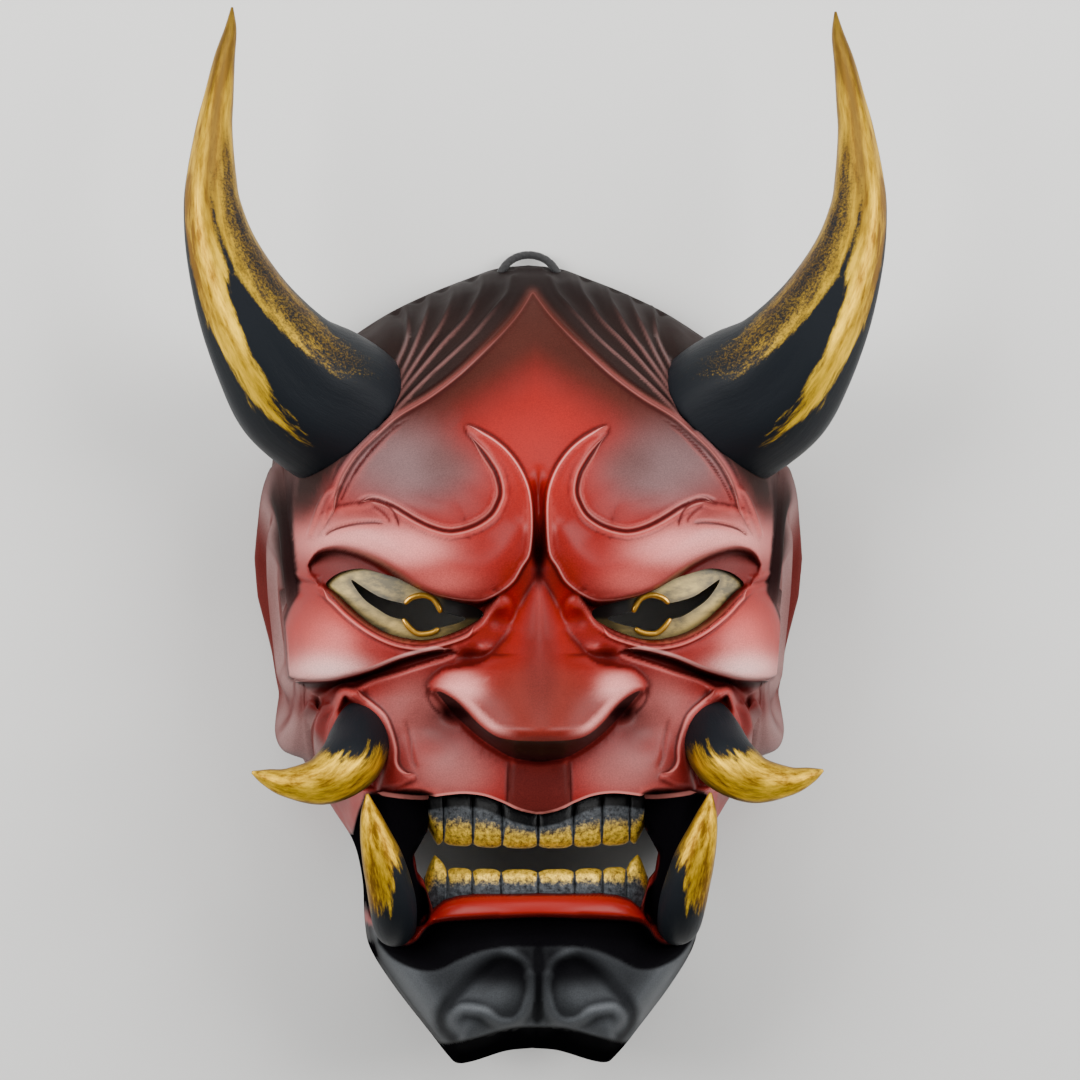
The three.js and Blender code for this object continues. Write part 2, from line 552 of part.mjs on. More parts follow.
function toGeometry(solid) {
  const mesh = solid.getMesh();
  const geometry = new THREE.BufferGeometry();
  geometry.setAttribute('position', new THREE.BufferAttribute(new Float32Array(mesh.vertProperties), 3));
  geometry.setIndex(new THREE.BufferAttribute(new Uint32Array(mesh.triVerts), 1));
  return geometry;
}

// the same closed surface moved outwards by a distance
function grown(geometry, distance) {
  const copy = geometry.clone();
  copy.computeVertexNormals();
  const { position, normal } = copy.attributes;
  for (let i = 0; i < position.count; i += 1) {
    position.setXYZ(i, position.getX(i) + distance * normal.getX(i),
      position.getY(i) + distance * normal.getY(i), position.getZ(i) + distance * normal.getZ(i));
  }
  copy.deleteAttribute('normal');
  return copy;
}

// both mirrored halves of a triangulated disc, each point carried to its place in space
function discSurface(points, toPoint, outward, positions) {
  const at = points.map(toPoint);
  triangulate(points).forEach(([a, b, c]) => {
    const [p, q, r] = [points[a], points[b], points[c]];
    const turnsLeft = (q[0] - p[0]) * (r[1] - p[1]) > (q[1] - p[1]) * (r[0] - p[0]);
    const [s, t, w] = (turnsLeft === outward ? [a, b, c] : [a, c, b]).map((i) => at[i]);
    positions.push(...s, ...t, ...w, ...mirrored(s), ...mirrored(w), ...mirrored(t));
  });
  return at.slice(0, borderTurns.length);
}

// strip of wall between two matching borders, on both halves
function borderStrip(upper, lower, positions) {
  for (let i = 1; i < upper.length; i += 1) {
    const corners = [upper[i - 1], upper[i], lower[i], lower[i - 1]];
    [corners, [0, 3, 2, 1].map((k) => mirrored(corners[k]))].forEach(([a, b, c, d]) => {
      positions.push(...a, ...b, ...c, ...a, ...c, ...d);
    });
  }
}

// A point of the carved face
function facePoint([u, v]) {
  const [x, y] = DISC.toFace(u, v);
  return place(x, y, Math.hypot(u, v) > 0.9999 ? rimHeight(y) : relief(x, y));
}

// A point of the hollow behind it, a wall's thickness under the lowest relief nearby
const REACH_OF_WALL = 7;
const NEIGHBOURS = [[0, 0], ...Array.from({ length: 8 }, (_, i) => [
  REACH_OF_WALL * Math.cos(i * Math.PI / 4), REACH_OF_WALL * Math.sin(i * Math.PI / 4)])];

function hollowPoint([u, v]) {
  const turn = Math.atan2(u, v);
  const t = Math.hypot(u, v);
  const ring = t * (2 - t);
  const reach = ring * (reachAt(turn) - WALL_AT_RIM);
  const [x, y] = [reach * Math.sin(turn), MIDDLE_Y + reach * Math.cos(turn)];
  const rim = rimHeight(MIDDLE_Y + reachAt(turn) * Math.cos(turn));
  if (t > 0.9999) return place(x, y, rim);
  const nearby = NEIGHBOURS.map(([dx, dy]) => [x + dx, y + dy])
    .filter(([nx, ny]) => ringOf(Math.abs(nx), ny).ring < 0.985)
    .map(([nx, ny]) => relief(nx, ny));
  const height = Math.max(Math.min(...nearby) - WALL - rim, 4);
  return place(x, y, rim + height * Math.sqrt(Math.max(0, 1 - ring ** 16)));
}

// rings of points near the outline: share of the way out, and how many steps on the right half
const FACE_RINGS = [[0.955, 40], [0.905, 38], [0.85, 34], [0.79, 32]];
const HOLLOW_RINGS = [[0.93, 24], [0.83, 20]];
const facePoints = discPoints(FACE_RINGS, creasePoints(), 0.055, 0.028);
const hollowPoints = discPoints(HOLLOW_RINGS, [], 0.13, 0.06);

function shellGeometry() {
  const positions = [];
  const front = discSurface(facePoints, facePoint, true, positions);
  const back = discSurface(hollowPoints, hollowPoint, false, positions);
  borderStrip(front, back, positions);
  return closedGeometry(positions);
}

// the face as a full block that horns and tusks are fitted against
const BLOCK_FOOT = -30;

function faceBlock() {
  const positions = [];
  const front = discSurface(facePoints, facePoint, true, positions);
  const foot = front.map(([x, y]) => [x, y, BLOCK_FOOT]);
  borderStrip(front, foot, positions);
  const middle = [0, MIDDLE_Y, BLOCK_FOOT];
  for (let i = 1; i < foot.length; i += 1) {
    positions.push(...foot[i - 1], ...foot[i], ...middle);
    positions.push(...mirrored(foot[i]), ...mirrored(foot[i - 1]), ...middle);
  }
  return closedGeometry(positions);
}

// Tube of round or fluted section along a centre line of x, y, z, radius
function taperedTube(line, sides, steps, flute = () => 1) {
  const stations = curve(line, steps).map(([x, y, z, radius]) => ({
    at: new THREE.Vector3(...place(x, y, z)), radius: Math.max(radius, 0.3),
  }));
  const rings = stations.map(({ at, radius }, i) => {
    const ahead = stations[Math.min(i + 1, stations.length - 1)].at;
    const behind = stations[Math.max(i - 1, 0)].at;
    const forward = ahead.clone().sub(behind).normalize();
    const across = new THREE.Vector3(0, 0, 1).cross(forward).normalize();
    const up = forward.clone().cross(across);
    return Array.from({ length: sides }, (_, k) => {
      const turn = 2 * Math.PI * k / sides;
      const r = radius * flute(turn, i / stations.length);
      return at.clone().addScaledVector(across, r * Math.cos(turn))
        .addScaledVector(up, r * Math.sin(turn));
    });
  });
  const positions = [];
  const push = (...points) => points.forEach((p) => positions.push(p.x, p.y, p.z));
  for (let i = 1; i < rings.length; i += 1) {
    for (let k = 0; k < sides; k += 1) {
      const [a, b] = [rings[i - 1][k], rings[i - 1][(k + 1) % sides]];
      const [c, d] = [rings[i][(k + 1) % sides], rings[i][k]];
      push(a, b, c, a, c, d);
    }
  }
  for (let k = 1; k < sides - 1; k += 1) {
    push(rings[0][0], rings[0][k + 1], rings[0][k]);
    push(rings[rings.length - 1][0], rings[rings.length - 1][k], rings[rings.length - 1][k + 1]);
  }
  return closedGeometry(positions);
}

// Straight-sided solid over an outline seen from in front, between two heights
function prism(loop, low, high, depthAt) {
  const shape = new THREE.Shape(loop.map(([x, y]) => {
    const [px, py] = place(x, y, depthAt(x, y));
    return new THREE.Vector2(px, py);
  }));
  const solid = new THREE.ExtrudeGeometry(shape, { depth: high - low, bevelEnabled: false });
  solid.translate(0, 0, low);
  solid.deleteAttribute('normal');
  solid.deleteAttribute('uv');
  return mergeVertices(solid, 1e-4);
}

function mirroredGeometry(geometry) {
  const copy = geometry.clone().scale(-1, 1, 1);
  const corners = Array.from(copy.index.array);
  for (let i = 0; i < corners.length; i += 3) {
    [corners[i], corners[i + 1]] = [corners[i + 1], corners[i]];
  }
  copy.setIndex(corners);
  return copy;
}

// Ear: a flared plate on the side wall, with a rolled rim, a groove and a hollow
const EAR_MIDDLE = [-27, 30];   // Y and Z
const EAR_HALF = [57.5, 25];
const EAR_STOPS = [-85, -80, -72, -64, -58, -43, -31.5, -21.7, -7, 6.5, 31];
const EAR_STANDS = [5, 9.4, 7, 3.9, 1.8, 2.8, 4.5, 6.1, 6.4, 4.8, 2.7];
const EAR_REACH = [-99.5, 26.5]; // the stretch of the outline that the ear stands on
const sideStops = outline.filter(([x, y]) => x > 0 && y > EAR_REACH[0] && y < EAR_REACH[1])
  .map(([x, y]) => [y, x]).reverse();

function sideWall(y, z) {
  const square = 3.1 + 1.6 * ease(-y, -60, 0);
  const ring = (1 - (z / FACE_HEIGHT) ** 2) ** (1 / square);
  const level = MIDDLE_Y + (y - MIDDLE_Y) / ring;
  return ring * between(level, sideStops.map(([v]) => v), sideStops.map(([, x]) => x));
}

function earStand(share, turn, y, z) {
  const back = ease(-Math.cos(turn), -0.9, 0.1);
  const rim = between(y, EAR_STOPS, EAR_STANDS) * hump(share - 0.84, 0.26);
  const fold = 3.2 * back * hump(share - 0.48, 0.2) * ease(y, -70, -50);
  return 1 + rim * mix(0.45, 1, back) + fold + 0.02 * (EAR_MIDDLE[1] - z);
}

const EAR_ROOT = 2.2;           // how far the plate is sunk into the side wall

function earGeometry(extra) {
  const spokes = 26;
  const shares = [0.24, 0.42, 0.54, 0.7, 0.84, 0.95, 1];
  const point = (share, turn, depth) => {
    const y = EAR_MIDDLE[0] + (EAR_HALF[0] + extra) * share * Math.sin(turn);
    const z = EAR_MIDDLE[1] + (EAR_HALF[1] + extra) * share * Math.cos(turn);
    return place(sideWall(y, z) + depth(share, turn, y, z), y, z);
  };
  const outer = (share, turn, y, z) => extra + earStand(share, turn, y, z) * (share === 1 ? 0.3 : 1);
  const inner = () => -EAR_ROOT;
  const positions = [];
  for (let k = 0; k < spokes; k += 1) {
    const [t0, t1] = [k, k + 1].map((i) => 2 * Math.PI * (i % spokes) / spokes);
    positions.push(...point(0, 0, outer), ...point(shares[0], t1, outer),
      ...point(shares[0], t0, outer));
    for (let i = 1; i < shares.length; i += 1) {
      const [a, b] = [point(shares[i - 1], t0, outer), point(shares[i - 1], t1, outer)];
      const [c, d] = [point(shares[i], t1, outer), point(shares[i], t0, outer)];
      positions.push(...a, ...b, ...c, ...a, ...c, ...d);
    }
    const [a, b] = [point(1, t0, outer), point(1, t1, outer)];
    const [c, d] = [point(1, t1, inner), point(1, t0, inner)];
    positions.push(...a, ...b, ...c, ...a, ...c, ...d, ...d, ...c, ...point(0, 0, inner));
  }
  return closedGeometry(positions);
}

// Row of teeth: one section for each column, carried along the arch
const ARCH_FRONT = 101.4;       // height of the front teeth

function toothRow(edges, gumAt, biteY, rise, canine, bite) {
  const columns = [];
  const column = (x, crown, short) => columns.push({ x, crown, short });
  edges.slice(1).forEach((right, i) => {
    const left = edges[i];
    const last = i === edges.length - 2;
    const inwards = canine.slice(1).reverse().map(([share, short]) => [1 - share, short]);
    const crowns = last ? inwards : [[0.16, 0.2], [0.84, 0.2]];
    column(left, -2, i ? 1.8 : canine[0][1]);
    (i ? crowns : canine.slice(1)).forEach(([share, short]) => column(mix(left, right, share), 1, short));
  });
  column(edges[edges.length - 1], -2, canine[0][1]);
  const sections = columns.map(({ x, crown, short }) => {
    const arch = ARCH_FRONT - 0.0095 * x * x;
    const gumY = gumAt(Math.abs(x));
    const end = biteY + bite * short + rise * x * x;
    const at = (y, z) => place(x, y, z);
    return [at(gumY, arch - 7), at(gumY, arch - 0.6), at(mix(gumY, end, 0.35), arch + crown * 0.7),
      at(mix(gumY, end, 0.8), arch + crown), at(end, arch + crown * 0.5 - 1), at(end, arch - 4.5)];
  });
  const positions = [];
  const flip = bite > 0;
  const quad = (a, b, c, d) => {
    positions.push(...(flip ? [a, c, b, a, d, c] : [a, b, c, a, c, d]).flat());
  };
  for (let i = 1; i < sections.length; i += 1) {
    const [s, t] = [sections[i - 1], sections[i]];
    for (let k = 0; k < s.length; k += 1) {
      const next = (k + 1) % s.length;
      quad(s[k], t[k], t[next], s[next]);
    }
  }
  [[sections[0], flip], [sections[sections.length - 1], !flip]].forEach(([loop, turned]) => {
    for (let k = 1; k < loop.length - 1; k += 1) {
      const [b, c] = turned ? [loop[k + 1], loop[k]] : [loop[k], loop[k + 1]];
      positions.push(...loop[0], ...b, ...c);
    }
  });
  return closedGeometry(positions);
}

// Eye plate: a thin curved plate with the pupil and its slit cut out
const EYE_DEPTH = 88;           // height that the eye's opening is measured at
const EYE_MIDDLE = [50, -25];   // the plate's edge is drawn in towards this point
const PLATE = 3;                // thickness

function eyeGeometry() {
  const inset = EYE_HOLE.map(([x, y]) => {
    const pull = 1 - 2.4 * GAP / Math.hypot(x - EYE_MIDDLE[0], y - EYE_MIDDLE[1]);
    return [mix(EYE_MIDDLE[0], x, pull), mix(EYE_MIDDLE[1], y, pull)];
  });
  const shape = new THREE.Shape(inset.map(([x, y]) => new THREE.Vector2(x, y)));
  shape.holes.push(new THREE.Path(PUPIL_SLIT.map(([x, y]) => new THREE.Vector2(x, y))));
  const plate = new THREE.ExtrudeGeometry(shape, { depth: PLATE, bevelEnabled: false });
  plate.deleteAttribute('normal');
  plate.deleteAttribute('uv');
  const { position } = plate.attributes;
  for (let i = 0; i < position.count; i += 1) {
    const [x, y, z] = [position.getX(i), position.getY(i), position.getZ(i)];
    const [px, py] = place(x, y, EYE_DEPTH);
    position.setXYZ(i, px, py, eyeballHeight(x, y) - PLATE + z);
  }
  return mergeVertices(plate, 1e-4);
}

// Hanging loop: half a circle of cord that leaves the top wall and goes back into it
function cordPoint(share) {
  const turn = Math.PI * share;
  const rise = Math.sin(turn);
  return new THREE.Vector3(-CORD_BEND * Math.cos(turn), CORD_MIDDLE_Y + CORD_BEND * rise,
    CORD_HEIGHT - CORD_SAG * rise ** 2);
}

function cordGeometry(radius, overrun) {
  const bends = 18;
  const points = Array.from({ length: bends + 1 }, (_, i) => cordPoint(i / bends));
  if (overrun) {
    points.unshift(points[0].clone().add(new THREE.Vector3(0, -overrun, 0)));
    points.push(points[points.length - 1].clone().add(new THREE.Vector3(0, -overrun, 0)));
  }
  const sides = 8;
  const section = new THREE.Shape(Array.from({ length: sides }, (_, k) => new THREE.Vector2(
    radius * Math.cos(2 * Math.PI * k / sides), radius * Math.sin(2 * Math.PI * k / sides))));
  const route = new THREE.CatmullRomCurve3(points);
  const tube = new THREE.ExtrudeGeometry(section, { steps: 12, extrudePath: route, bevelEnabled: false });
  tube.deleteAttribute('normal');
  tube.deleteAttribute('uv');
  return mergeVertices(tube, 1e-4);
}

// Materials
const finish = (color, roughness, metalness = 0) => new THREE.MeshStandardMaterial({
  color, roughness, metalness,
});
const red = finish(0xa8332e, 0.42);
const gold = finish(0x9c7a2c, 0.45, 0.4);
const brass = finish(0xb8a878, 0.5, 0.2);
const cordBlack = finish(0x141414, 0.8);

// Assembly
const mask = new THREE.Group();

function addPiece(name, geometry, material) {
  const piece = new THREE.Mesh(geometry, material);
  piece.name = name;
  mask.add(piece);
}

// the shell's cast body, its two ears and everything cut through it
const MOUTH_MIDDLE_Y = -120;
const MOUTH_HALF = [42, 15];    // half width and half height, for the teeth's play
const mouthDepth = (x) => 106 - 0.009 * x * x;
const mouthHalf = [...LIP_TOP.filter(([x]) => x < 43).reverse(), ...MOUTH_SIDE.slice().reverse(),
  ...LIP_IN.filter(([x]) => x < 37).reverse()];
const mouthLoop = [...mouthHalf, ...mouthHalf.slice(1, -1).reverse().map(([x, y]) => [-x, y])];
const mouthCut = toSolid(prism(mouthLoop, 20, 150, mouthDepth));
const eyeCut = toSolid(prism(EYE_HOLE, 30, 140, () => EYE_DEPTH));
const mirrorSolid = (solid) => toSolid(mirroredGeometry(toGeometry(solid)));
const bareShell = toSolid(shellGeometry());
const ears = [earGeometry(0), mirroredGeometry(earGeometry(0))].map(toSolid);
const shell = [eyeCut, mirrorSolid(eyeCut), mouthCut, toSolid(cordGeometry(CORD_HOLE, 3))]
  .reduce((solid, cut) => solid.subtract(cut), bareShell.add(ears[0]).add(ears[1]));
addPiece('mask_shell', toGeometry(shell), red);

// horns and tusks, cut to the carved face with play all round
const block = faceBlock();
const earGrown = toSolid(earGeometry(GAP));

function clearOf(solid, geometry) {
  return solid.subtract(toSolid(geometry)).subtract(toSolid(grown(geometry, GAP)));
}

const fitted = (geometry) => clearOf(clearOf(toSolid(geometry), block), toGeometry(shell));
const hornFlute = (turn, share) => 1 - 0.05 * hump(turn - 4.1, 0.7) * ease(share, 0.1, 0.4);
const horn = fitted(taperedTube(HORN, 14, 1, hornFlute)).subtract(earGrown);
const cheekTusk = fitted(taperedTube(CHEEK_TUSK, 10, 1));
const lowerTusk = fitted(taperedTube(LOWER_TUSK, 8, 1));
const eye = toSolid(eyeGeometry());
[['horn', horn, gold], ['cheek_tusk', cheekTusk, gold], ['lower_tusk', lowerTusk, gold], ['eye', eye, brass]]
  .forEach(([name, solid, material]) => {
    addPiece(`${name}_left`, mirroredGeometry(toGeometry(solid)), material);
    addPiece(`${name}_right`, toGeometry(solid), material);
  });

// teeth, kept inside the mouth's opening
const UPPER_BITE = -117.6;      // Y of the biting edges at the front
const LOWER_BITE = -125;
const UPPER_RISE = 0.0012;      // how they climb towards the sides, times x squared
const LOWER_RISE = 0.0008;
// canines, from the outer edge inwards: share of the width, and how far short of the biting edge
const UPPER_CANINE = [[0, 7], [0.3, 3.4], [0.7, 0], [0.86, 0.9]];
const LOWER_CANINE = [[0, 4.9], [0.25, -0.9], [0.48, -4.1], [0.8, -1.4]];
const play = 1.4 * GAP;
const room = mouthLoop.map(([x, y]) => [
  x * (1 - play / MOUTH_HALF[0]),
  mix(y, MOUTH_MIDDLE_Y, play / MOUTH_HALF[1]),
]);
const mouthRoom = toSolid(prism(room, 60, 120, mouthDepth));

function yAlong(line, x) {
  const rising = line[0][0] < line[1][0] ? line : line.slice().reverse();
  return between(x, rising.map(([v]) => v), rising.map(([, v]) => v));
}

const gumTop = (x) => yAlong(LIP_TOP, x) + 1;
const gumLow = (x) => yAlong(LIP_IN, x) - 1;
const upperTeeth = toSolid(toothRow(UPPER_TOOTH_EDGES, gumTop, UPPER_BITE, UPPER_RISE, UPPER_CANINE, 1));
const lowerTeeth = toSolid(toothRow(LOWER_TOOTH_EDGES, gumLow, LOWER_BITE, LOWER_RISE, LOWER_CANINE, -1));
addPiece('upper_teeth', toGeometry(upperTeeth.intersect(mouthRoom)), gold);
addPiece('lower_teeth', toGeometry(lowerTeeth.intersect(mouthRoom)), gold);

addPiece('hanging_loop', cordGeometry(CORD_RADIUS, 0), cordBlack);

export default mask;
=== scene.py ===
import bpy
import numpy as np
from mathutils import Matrix, Vector


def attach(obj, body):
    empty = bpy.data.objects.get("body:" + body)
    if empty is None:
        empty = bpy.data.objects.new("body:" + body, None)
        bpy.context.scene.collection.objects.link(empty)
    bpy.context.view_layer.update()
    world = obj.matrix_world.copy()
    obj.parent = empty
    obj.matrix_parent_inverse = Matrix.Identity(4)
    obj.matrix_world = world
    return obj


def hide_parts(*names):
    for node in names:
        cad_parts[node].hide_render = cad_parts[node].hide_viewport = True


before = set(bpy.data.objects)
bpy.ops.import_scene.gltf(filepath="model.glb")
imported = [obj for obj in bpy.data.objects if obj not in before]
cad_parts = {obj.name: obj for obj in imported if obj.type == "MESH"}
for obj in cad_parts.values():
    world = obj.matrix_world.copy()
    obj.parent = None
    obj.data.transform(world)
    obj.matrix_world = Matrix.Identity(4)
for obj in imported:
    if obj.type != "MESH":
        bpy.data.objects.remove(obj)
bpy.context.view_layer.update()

# Camera
# The mask lies face up on its back rim, so the camera hangs above it and looks down on the face from
# 1.1 m over the cheeks, a little to the left of the nose.
CAMERA_AT = Vector((-0.042, 0.00105, 1.170))
CAMERA_LOOKS_AT = Vector((0.0, 0.00105, 0.118))
SENSOR_WIDTH = 36.0
FOCAL_LENGTH = 96.49
camera_data = bpy.data.cameras.new("camera")
camera_data.sensor_width = SENSOR_WIDTH
camera_data.lens = FOCAL_LENGTH
camera = bpy.data.objects.new("camera", camera_data)
bpy.context.scene.collection.objects.link(camera)
back_of_camera = (CAMERA_AT - CAMERA_LOOKS_AT).normalized()
right_of_camera = Vector((0, 1, 0)).cross(back_of_camera).normalized()
camera.matrix_world = Matrix.Translation(CAMERA_AT) @ Matrix((
    right_of_camera, back_of_camera.cross(right_of_camera), back_of_camera)).transposed().to_4x4()
bpy.context.scene.camera = camera

# Hanging loop
# A short length of round black braided cord. It leaves one hole in the crown's wall, bends through
# half a circle and goes back in through the next, held by a knot inside.
CORD_DIAMETER = 3.3
CORD_BEND = 12.4
CORD_MIDDLE_Y = 103.5
CORD_HEIGHT = 7.0
CORD_SAG = 2.6
CORD_STEPS = 181
CORD_SIDES = 24
STRANDS_EACH_WAY = 4
BRAID_TURN = 2.1
BRAID_DEPTH = 0.05


def loop_route(share):
    """Half a circle in the plane of the rim, whose far point hangs a little lower by a squared sine."""
    turn = np.pi * share
    rise = np.sin(turn)
    return np.stack([-CORD_BEND * np.cos(turn), CORD_MIDDLE_Y + CORD_BEND * rise,
                     CORD_HEIGHT - CORD_SAG * rise ** 2], -1)


def grid_faces(rows, columns, wrapped):
    """Triangles of a grid of rows by columns of points, each square split on its diagonal. Seen with
    rows running up and columns to the right, they face the viewer."""
    across = columns if wrapped else columns - 1
    row, column = np.meshgrid(np.arange(rows - 1), np.arange(across), indexing="ij")
    a = row * columns + column
    b = row * columns + (column + 1) % columns
    c, d = b + columns, a + columns
    return np.concatenate([np.stack([a, b, c], -1), np.stack([a, c, d], -1)]).reshape(-1, 3)


def made_mesh(name, points, faces):
    """An object at the origin from points in millimetres and triangles, shaded smooth."""
    mesh = bpy.data.meshes.new(name)
    mesh.vertices.add(len(points))
    mesh.vertices.foreach_set("co", (np.asarray(points) * 0.001).astype(np.float32).ravel())
    mesh.loops.add(len(faces) * 3)
    mesh.loops.foreach_set("vertex_index", np.asarray(faces, np.int32).ravel())
    mesh.polygons.add(len(faces))
    mesh.polygons.foreach_set("loop_start", np.arange(len(faces), dtype=np.int32) * 3)
    mesh.update(calc_edges=True)
    mesh.shade_smooth()
    piece = bpy.data.objects.new(name, mesh)
    bpy.context.scene.collection.objects.link(piece)
    return piece


def fan(middle, ring):
    """Triangles from a middle point to a ring of points that runs clockwise, facing the viewer."""
    return np.stack([np.full(len(ring), middle), np.roll(ring, -1), ring], -1)


def swept(route, radius_at, sides):
    """A closed tube: at each point of the route a ring of the given radius stands square to it, and a
    fan closes each end. radius_at takes the ring's angles and the length run so far."""
    ahead = np.gradient(route, axis=0)
    ahead /= np.linalg.norm(ahead, axis=1, keepdims=True)
    across = np.cross([0.0, 0.0, 1.0], ahead)
    across /= np.linalg.norm(across, axis=1, keepdims=True)
    up = np.cross(ahead, across)
    run = np.concatenate([[0.0], np.cumsum(np.linalg.norm(np.diff(route, axis=0), axis=1))])
    turn = 2 * np.pi * np.arange(sides) / sides
    radius = radius_at(turn[None, :], run[:, None]) * np.ones((len(route), sides))
    ring = (across[:, None] * np.cos(turn)[None, :, None]
            + up[:, None] * np.sin(turn)[None, :, None]) * radius[..., None]
    points = (route[:, None] + ring).reshape(-1, 3)
    straight = np.stack([radius * np.cos(turn), radius * np.sin(turn),
                         run[:, None] * np.ones(sides)], -1).reshape(-1, 3)
    faces = grid_faces(len(route), sides, True)
    last = len(points)
    first_ring = np.arange(sides)
    last_ring = first_ring + last - sides
    points = np.vstack([points, route[0], route[-1]])
    straight = np.vstack([straight, [0, 0, 0], [0, 0, run[-1]]])
    return points, np.vstack([faces, fan(last, first_ring), fan(last + 1, last_ring)[:, ::-1]]), straight


def braid(turn, run):
    """Strands laid over and under each other: the radius follows the higher of two waves that wind
    round the cord in opposite ways, each turning by so many radians a millimetre."""
    wave = np.maximum(np.sin(STRANDS_EACH_WAY * turn + BRAID_TURN * run),
                      np.sin(STRANDS_EACH_WAY * turn - BRAID_TURN * run))
    return CORD_DIAMETER / 2 * (1 - BRAID_DEPTH + BRAID_DEPTH * wave)


def stored(piece, name, values):
    """Keeps one number, or three, for each point of a mesh under a name that its material can read."""
    values = np.asarray(values, np.float32)
    kind = "FLOAT" if values.ndim == 1 else "FLOAT_VECTOR"
    field = piece.data.attributes.new(name, kind, "POINT")
    field.data.foreach_set("value" if kind == "FLOAT" else "vector", values.ravel())


def new_material(name, **sockets):
    """A material whose shader has these plain values, and its node tree."""
    material = bpy.data.materials.new(name)
    material.use_nodes = True
    shader = material.node_tree.nodes["Principled BSDF"]
    for socket, value in sockets.items():
        shader.inputs[socket.replace("_", " ")].default_value = value
    return material, material.node_tree, shader


def wired(tree, kind, inputs=(), **settings):
    """A node of a kind, with its settings, and each input given a value or joined to a socket."""
    node = tree.nodes.new(kind)
    for name, value in settings.items():
        setattr(node, name, value)
    for name, value in dict(inputs).items():
        if isinstance(value, bpy.types.NodeSocket):
            tree.links.new(value, node.inputs[name])
        else:
            node.inputs[name].default_value = value
    return node


def linear(red, green, blue):
    """A colour given as it looks on a screen, 0 to 255, as the light it sends back."""
    value = np.array([red, green, blue]) / 255
    return np.where(value <= 0.04045, value / 12.92, ((value + 0.055) / 1.055) ** 2.4)


def reading(tree, name, output="Fac"):
    """What was stored on the piece's points under a name, as a socket."""
    return wired(tree, "ShaderNodeAttribute", attribute_name=name).outputs[output]


def noise(tree, at, scale, detail, roughness=0.5):
    """Cloudy noise read at a socket's places."""
    return wired(tree, "ShaderNodeTexNoise", {
        "Vector": at, "Scale": scale, "Detail": detail, "Roughness": roughness}).outputs[0]


def roughened(tree, shader, height, strength, depth):
    """Lets a value stand up from the surface by so many metres."""
    bump = wired(tree, "ShaderNodeBump", {"Height": height, "Strength": strength, "Distance": depth})
    tree.links.new(bump.outputs["Normal"], shader.inputs["Normal"])


def wear(piece, material):
    """Gives a piece one material in place of any that it has."""
    piece.data.materials.clear()
    piece.data.materials.append(material)


loop_path = loop_route(np.linspace(0, 1, CORD_STEPS))
loop_points, loop_faces, loop_straight = swept(loop_path, braid, CORD_SIDES)
loop_piece = made_mesh("cord_loop", loop_points, loop_faces)
stored(loop_piece, "straight", loop_straight)
cord_black, tree, shader = new_material(
    "cord black", Base_Color=(*linear(24, 23, 24), 1), Roughness=0.72, Sheen_Weight=0.25)
roughened(tree, shader, noise(tree, reading(tree, "straight", "Vector"), 4.0, 3.0), 0.5, 0.0003)
wear(loop_piece, cord_black)
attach(loop_piece, "root")
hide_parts("hanging_loop")

# Face shell
# One hollow casting of hard resin, about 4 mm thick: brow, nose, cheeks, lips, jaw, ears and the combed
# hair cap. It is painted satin red, dusted pink on what stands up and black towards hair and chin, with
# painted highlights on raised parts and edges and painted shade in hollows, grooves and under overhangs.
# Outlines are laid out in millimetres as they look from the camera's height.
MIDDLE_Y = -50.0
FACE_HEIGHT = 104.0
RIM_RISE = 42.0
WALL_AT_RIM = 4.6
WALL = 3.4
SEEN_FROM = 1100.0
TRUE_AT = 70.0
CENTRE_SHIFT = 1.05
EYE_LEVEL = 88.0
MOST_TRIANGLES = 186000
SHARP_FROM = np.radians(62)

OUTLINE = [[0, 104.5], [12, 103.2], [22.8, 99.4], [36.1, 94.2], [51.3, 87], [64.6, 78.7],
           [79.8, 67.6], [90, 53.2], [95.5, 38], [97.7, 22.8], [97.3, 3.8], [95.8, -19], [93.9, -38],
           [92.3, -57], [88.5, -76], [81, -91], [73.3, -103.4], [66.5, -114.8], [63.5, -129],
           [63, -144.4], [61, -155], [52.5, -169], [38.8, -187], [32, -195.7], [28.5, -198.7],
           [22.4, -198], [10, -194.2], [0, -193.2]]
HAIRLINE = [[0, 93.5], [1.7, 90.8], [5.6, 85.3], [11.2, 79], [18.8, 71.4], [28.9, 62],
            [40.2, 53.6], [51.8, 46.6], [59.2, 40.3], [67, 32.7], [72.4, 24.8], [75.6, 17.1], [77, 11]]
STRANDS = [
    [[12, 91.6], [19, 83.6], [26.6, 75.2], [36.9, 66], [46, 57.4], [54, 49.8], [60, 42.6]],
    [[22.6, 99], [23.4, 94], [29, 82.9], [36.9, 75.2], [44.5, 66], [53.4, 54.4], [61, 42.6]],
    [[42.8, 93.5], [44, 87.8], [47.1, 79]]]
SWIRL_OUT = [[27.3, 43.8], [22.6, 42.3], [16.5, 38.8], [11.2, 34.2], [6.6, 27.9], [3.6, 20.9],
             [2.4, 14], [2.2, 6], [2.6, -1.1], [3.6, -6.3], [6.3, -10.6], [9.7, -16.3], [15.6, -20.9],
             [21.5, -23.4], [27, -23.4], [32, -22.6], [38.7, -20.9], [45.5, -17.9], [52.3, -13.3],
             [59.1, -9], [66, -5.6], [72.8, -3.6], [78, -3.3], [83, -5], [86.2, -9.3]]
SWIRL_IN = [[26.8, 41], [22.6, 35.7], [18.8, 30.2], [15.8, 24.8], [14.6, 18.6], [15.8, 14],
            [18.8, 9.3], [25, 5.4], [32.9, 3.4], [39.7, 4.6], [46.7, 7.8], [54.5, 12.5], [59.9, 14.8],
            [63.8, 15.4], [67.8, 14]]
BROW = [[7, 4], [14, -6], [26, -12], [45, -7], [66, 2], [86, 0]]
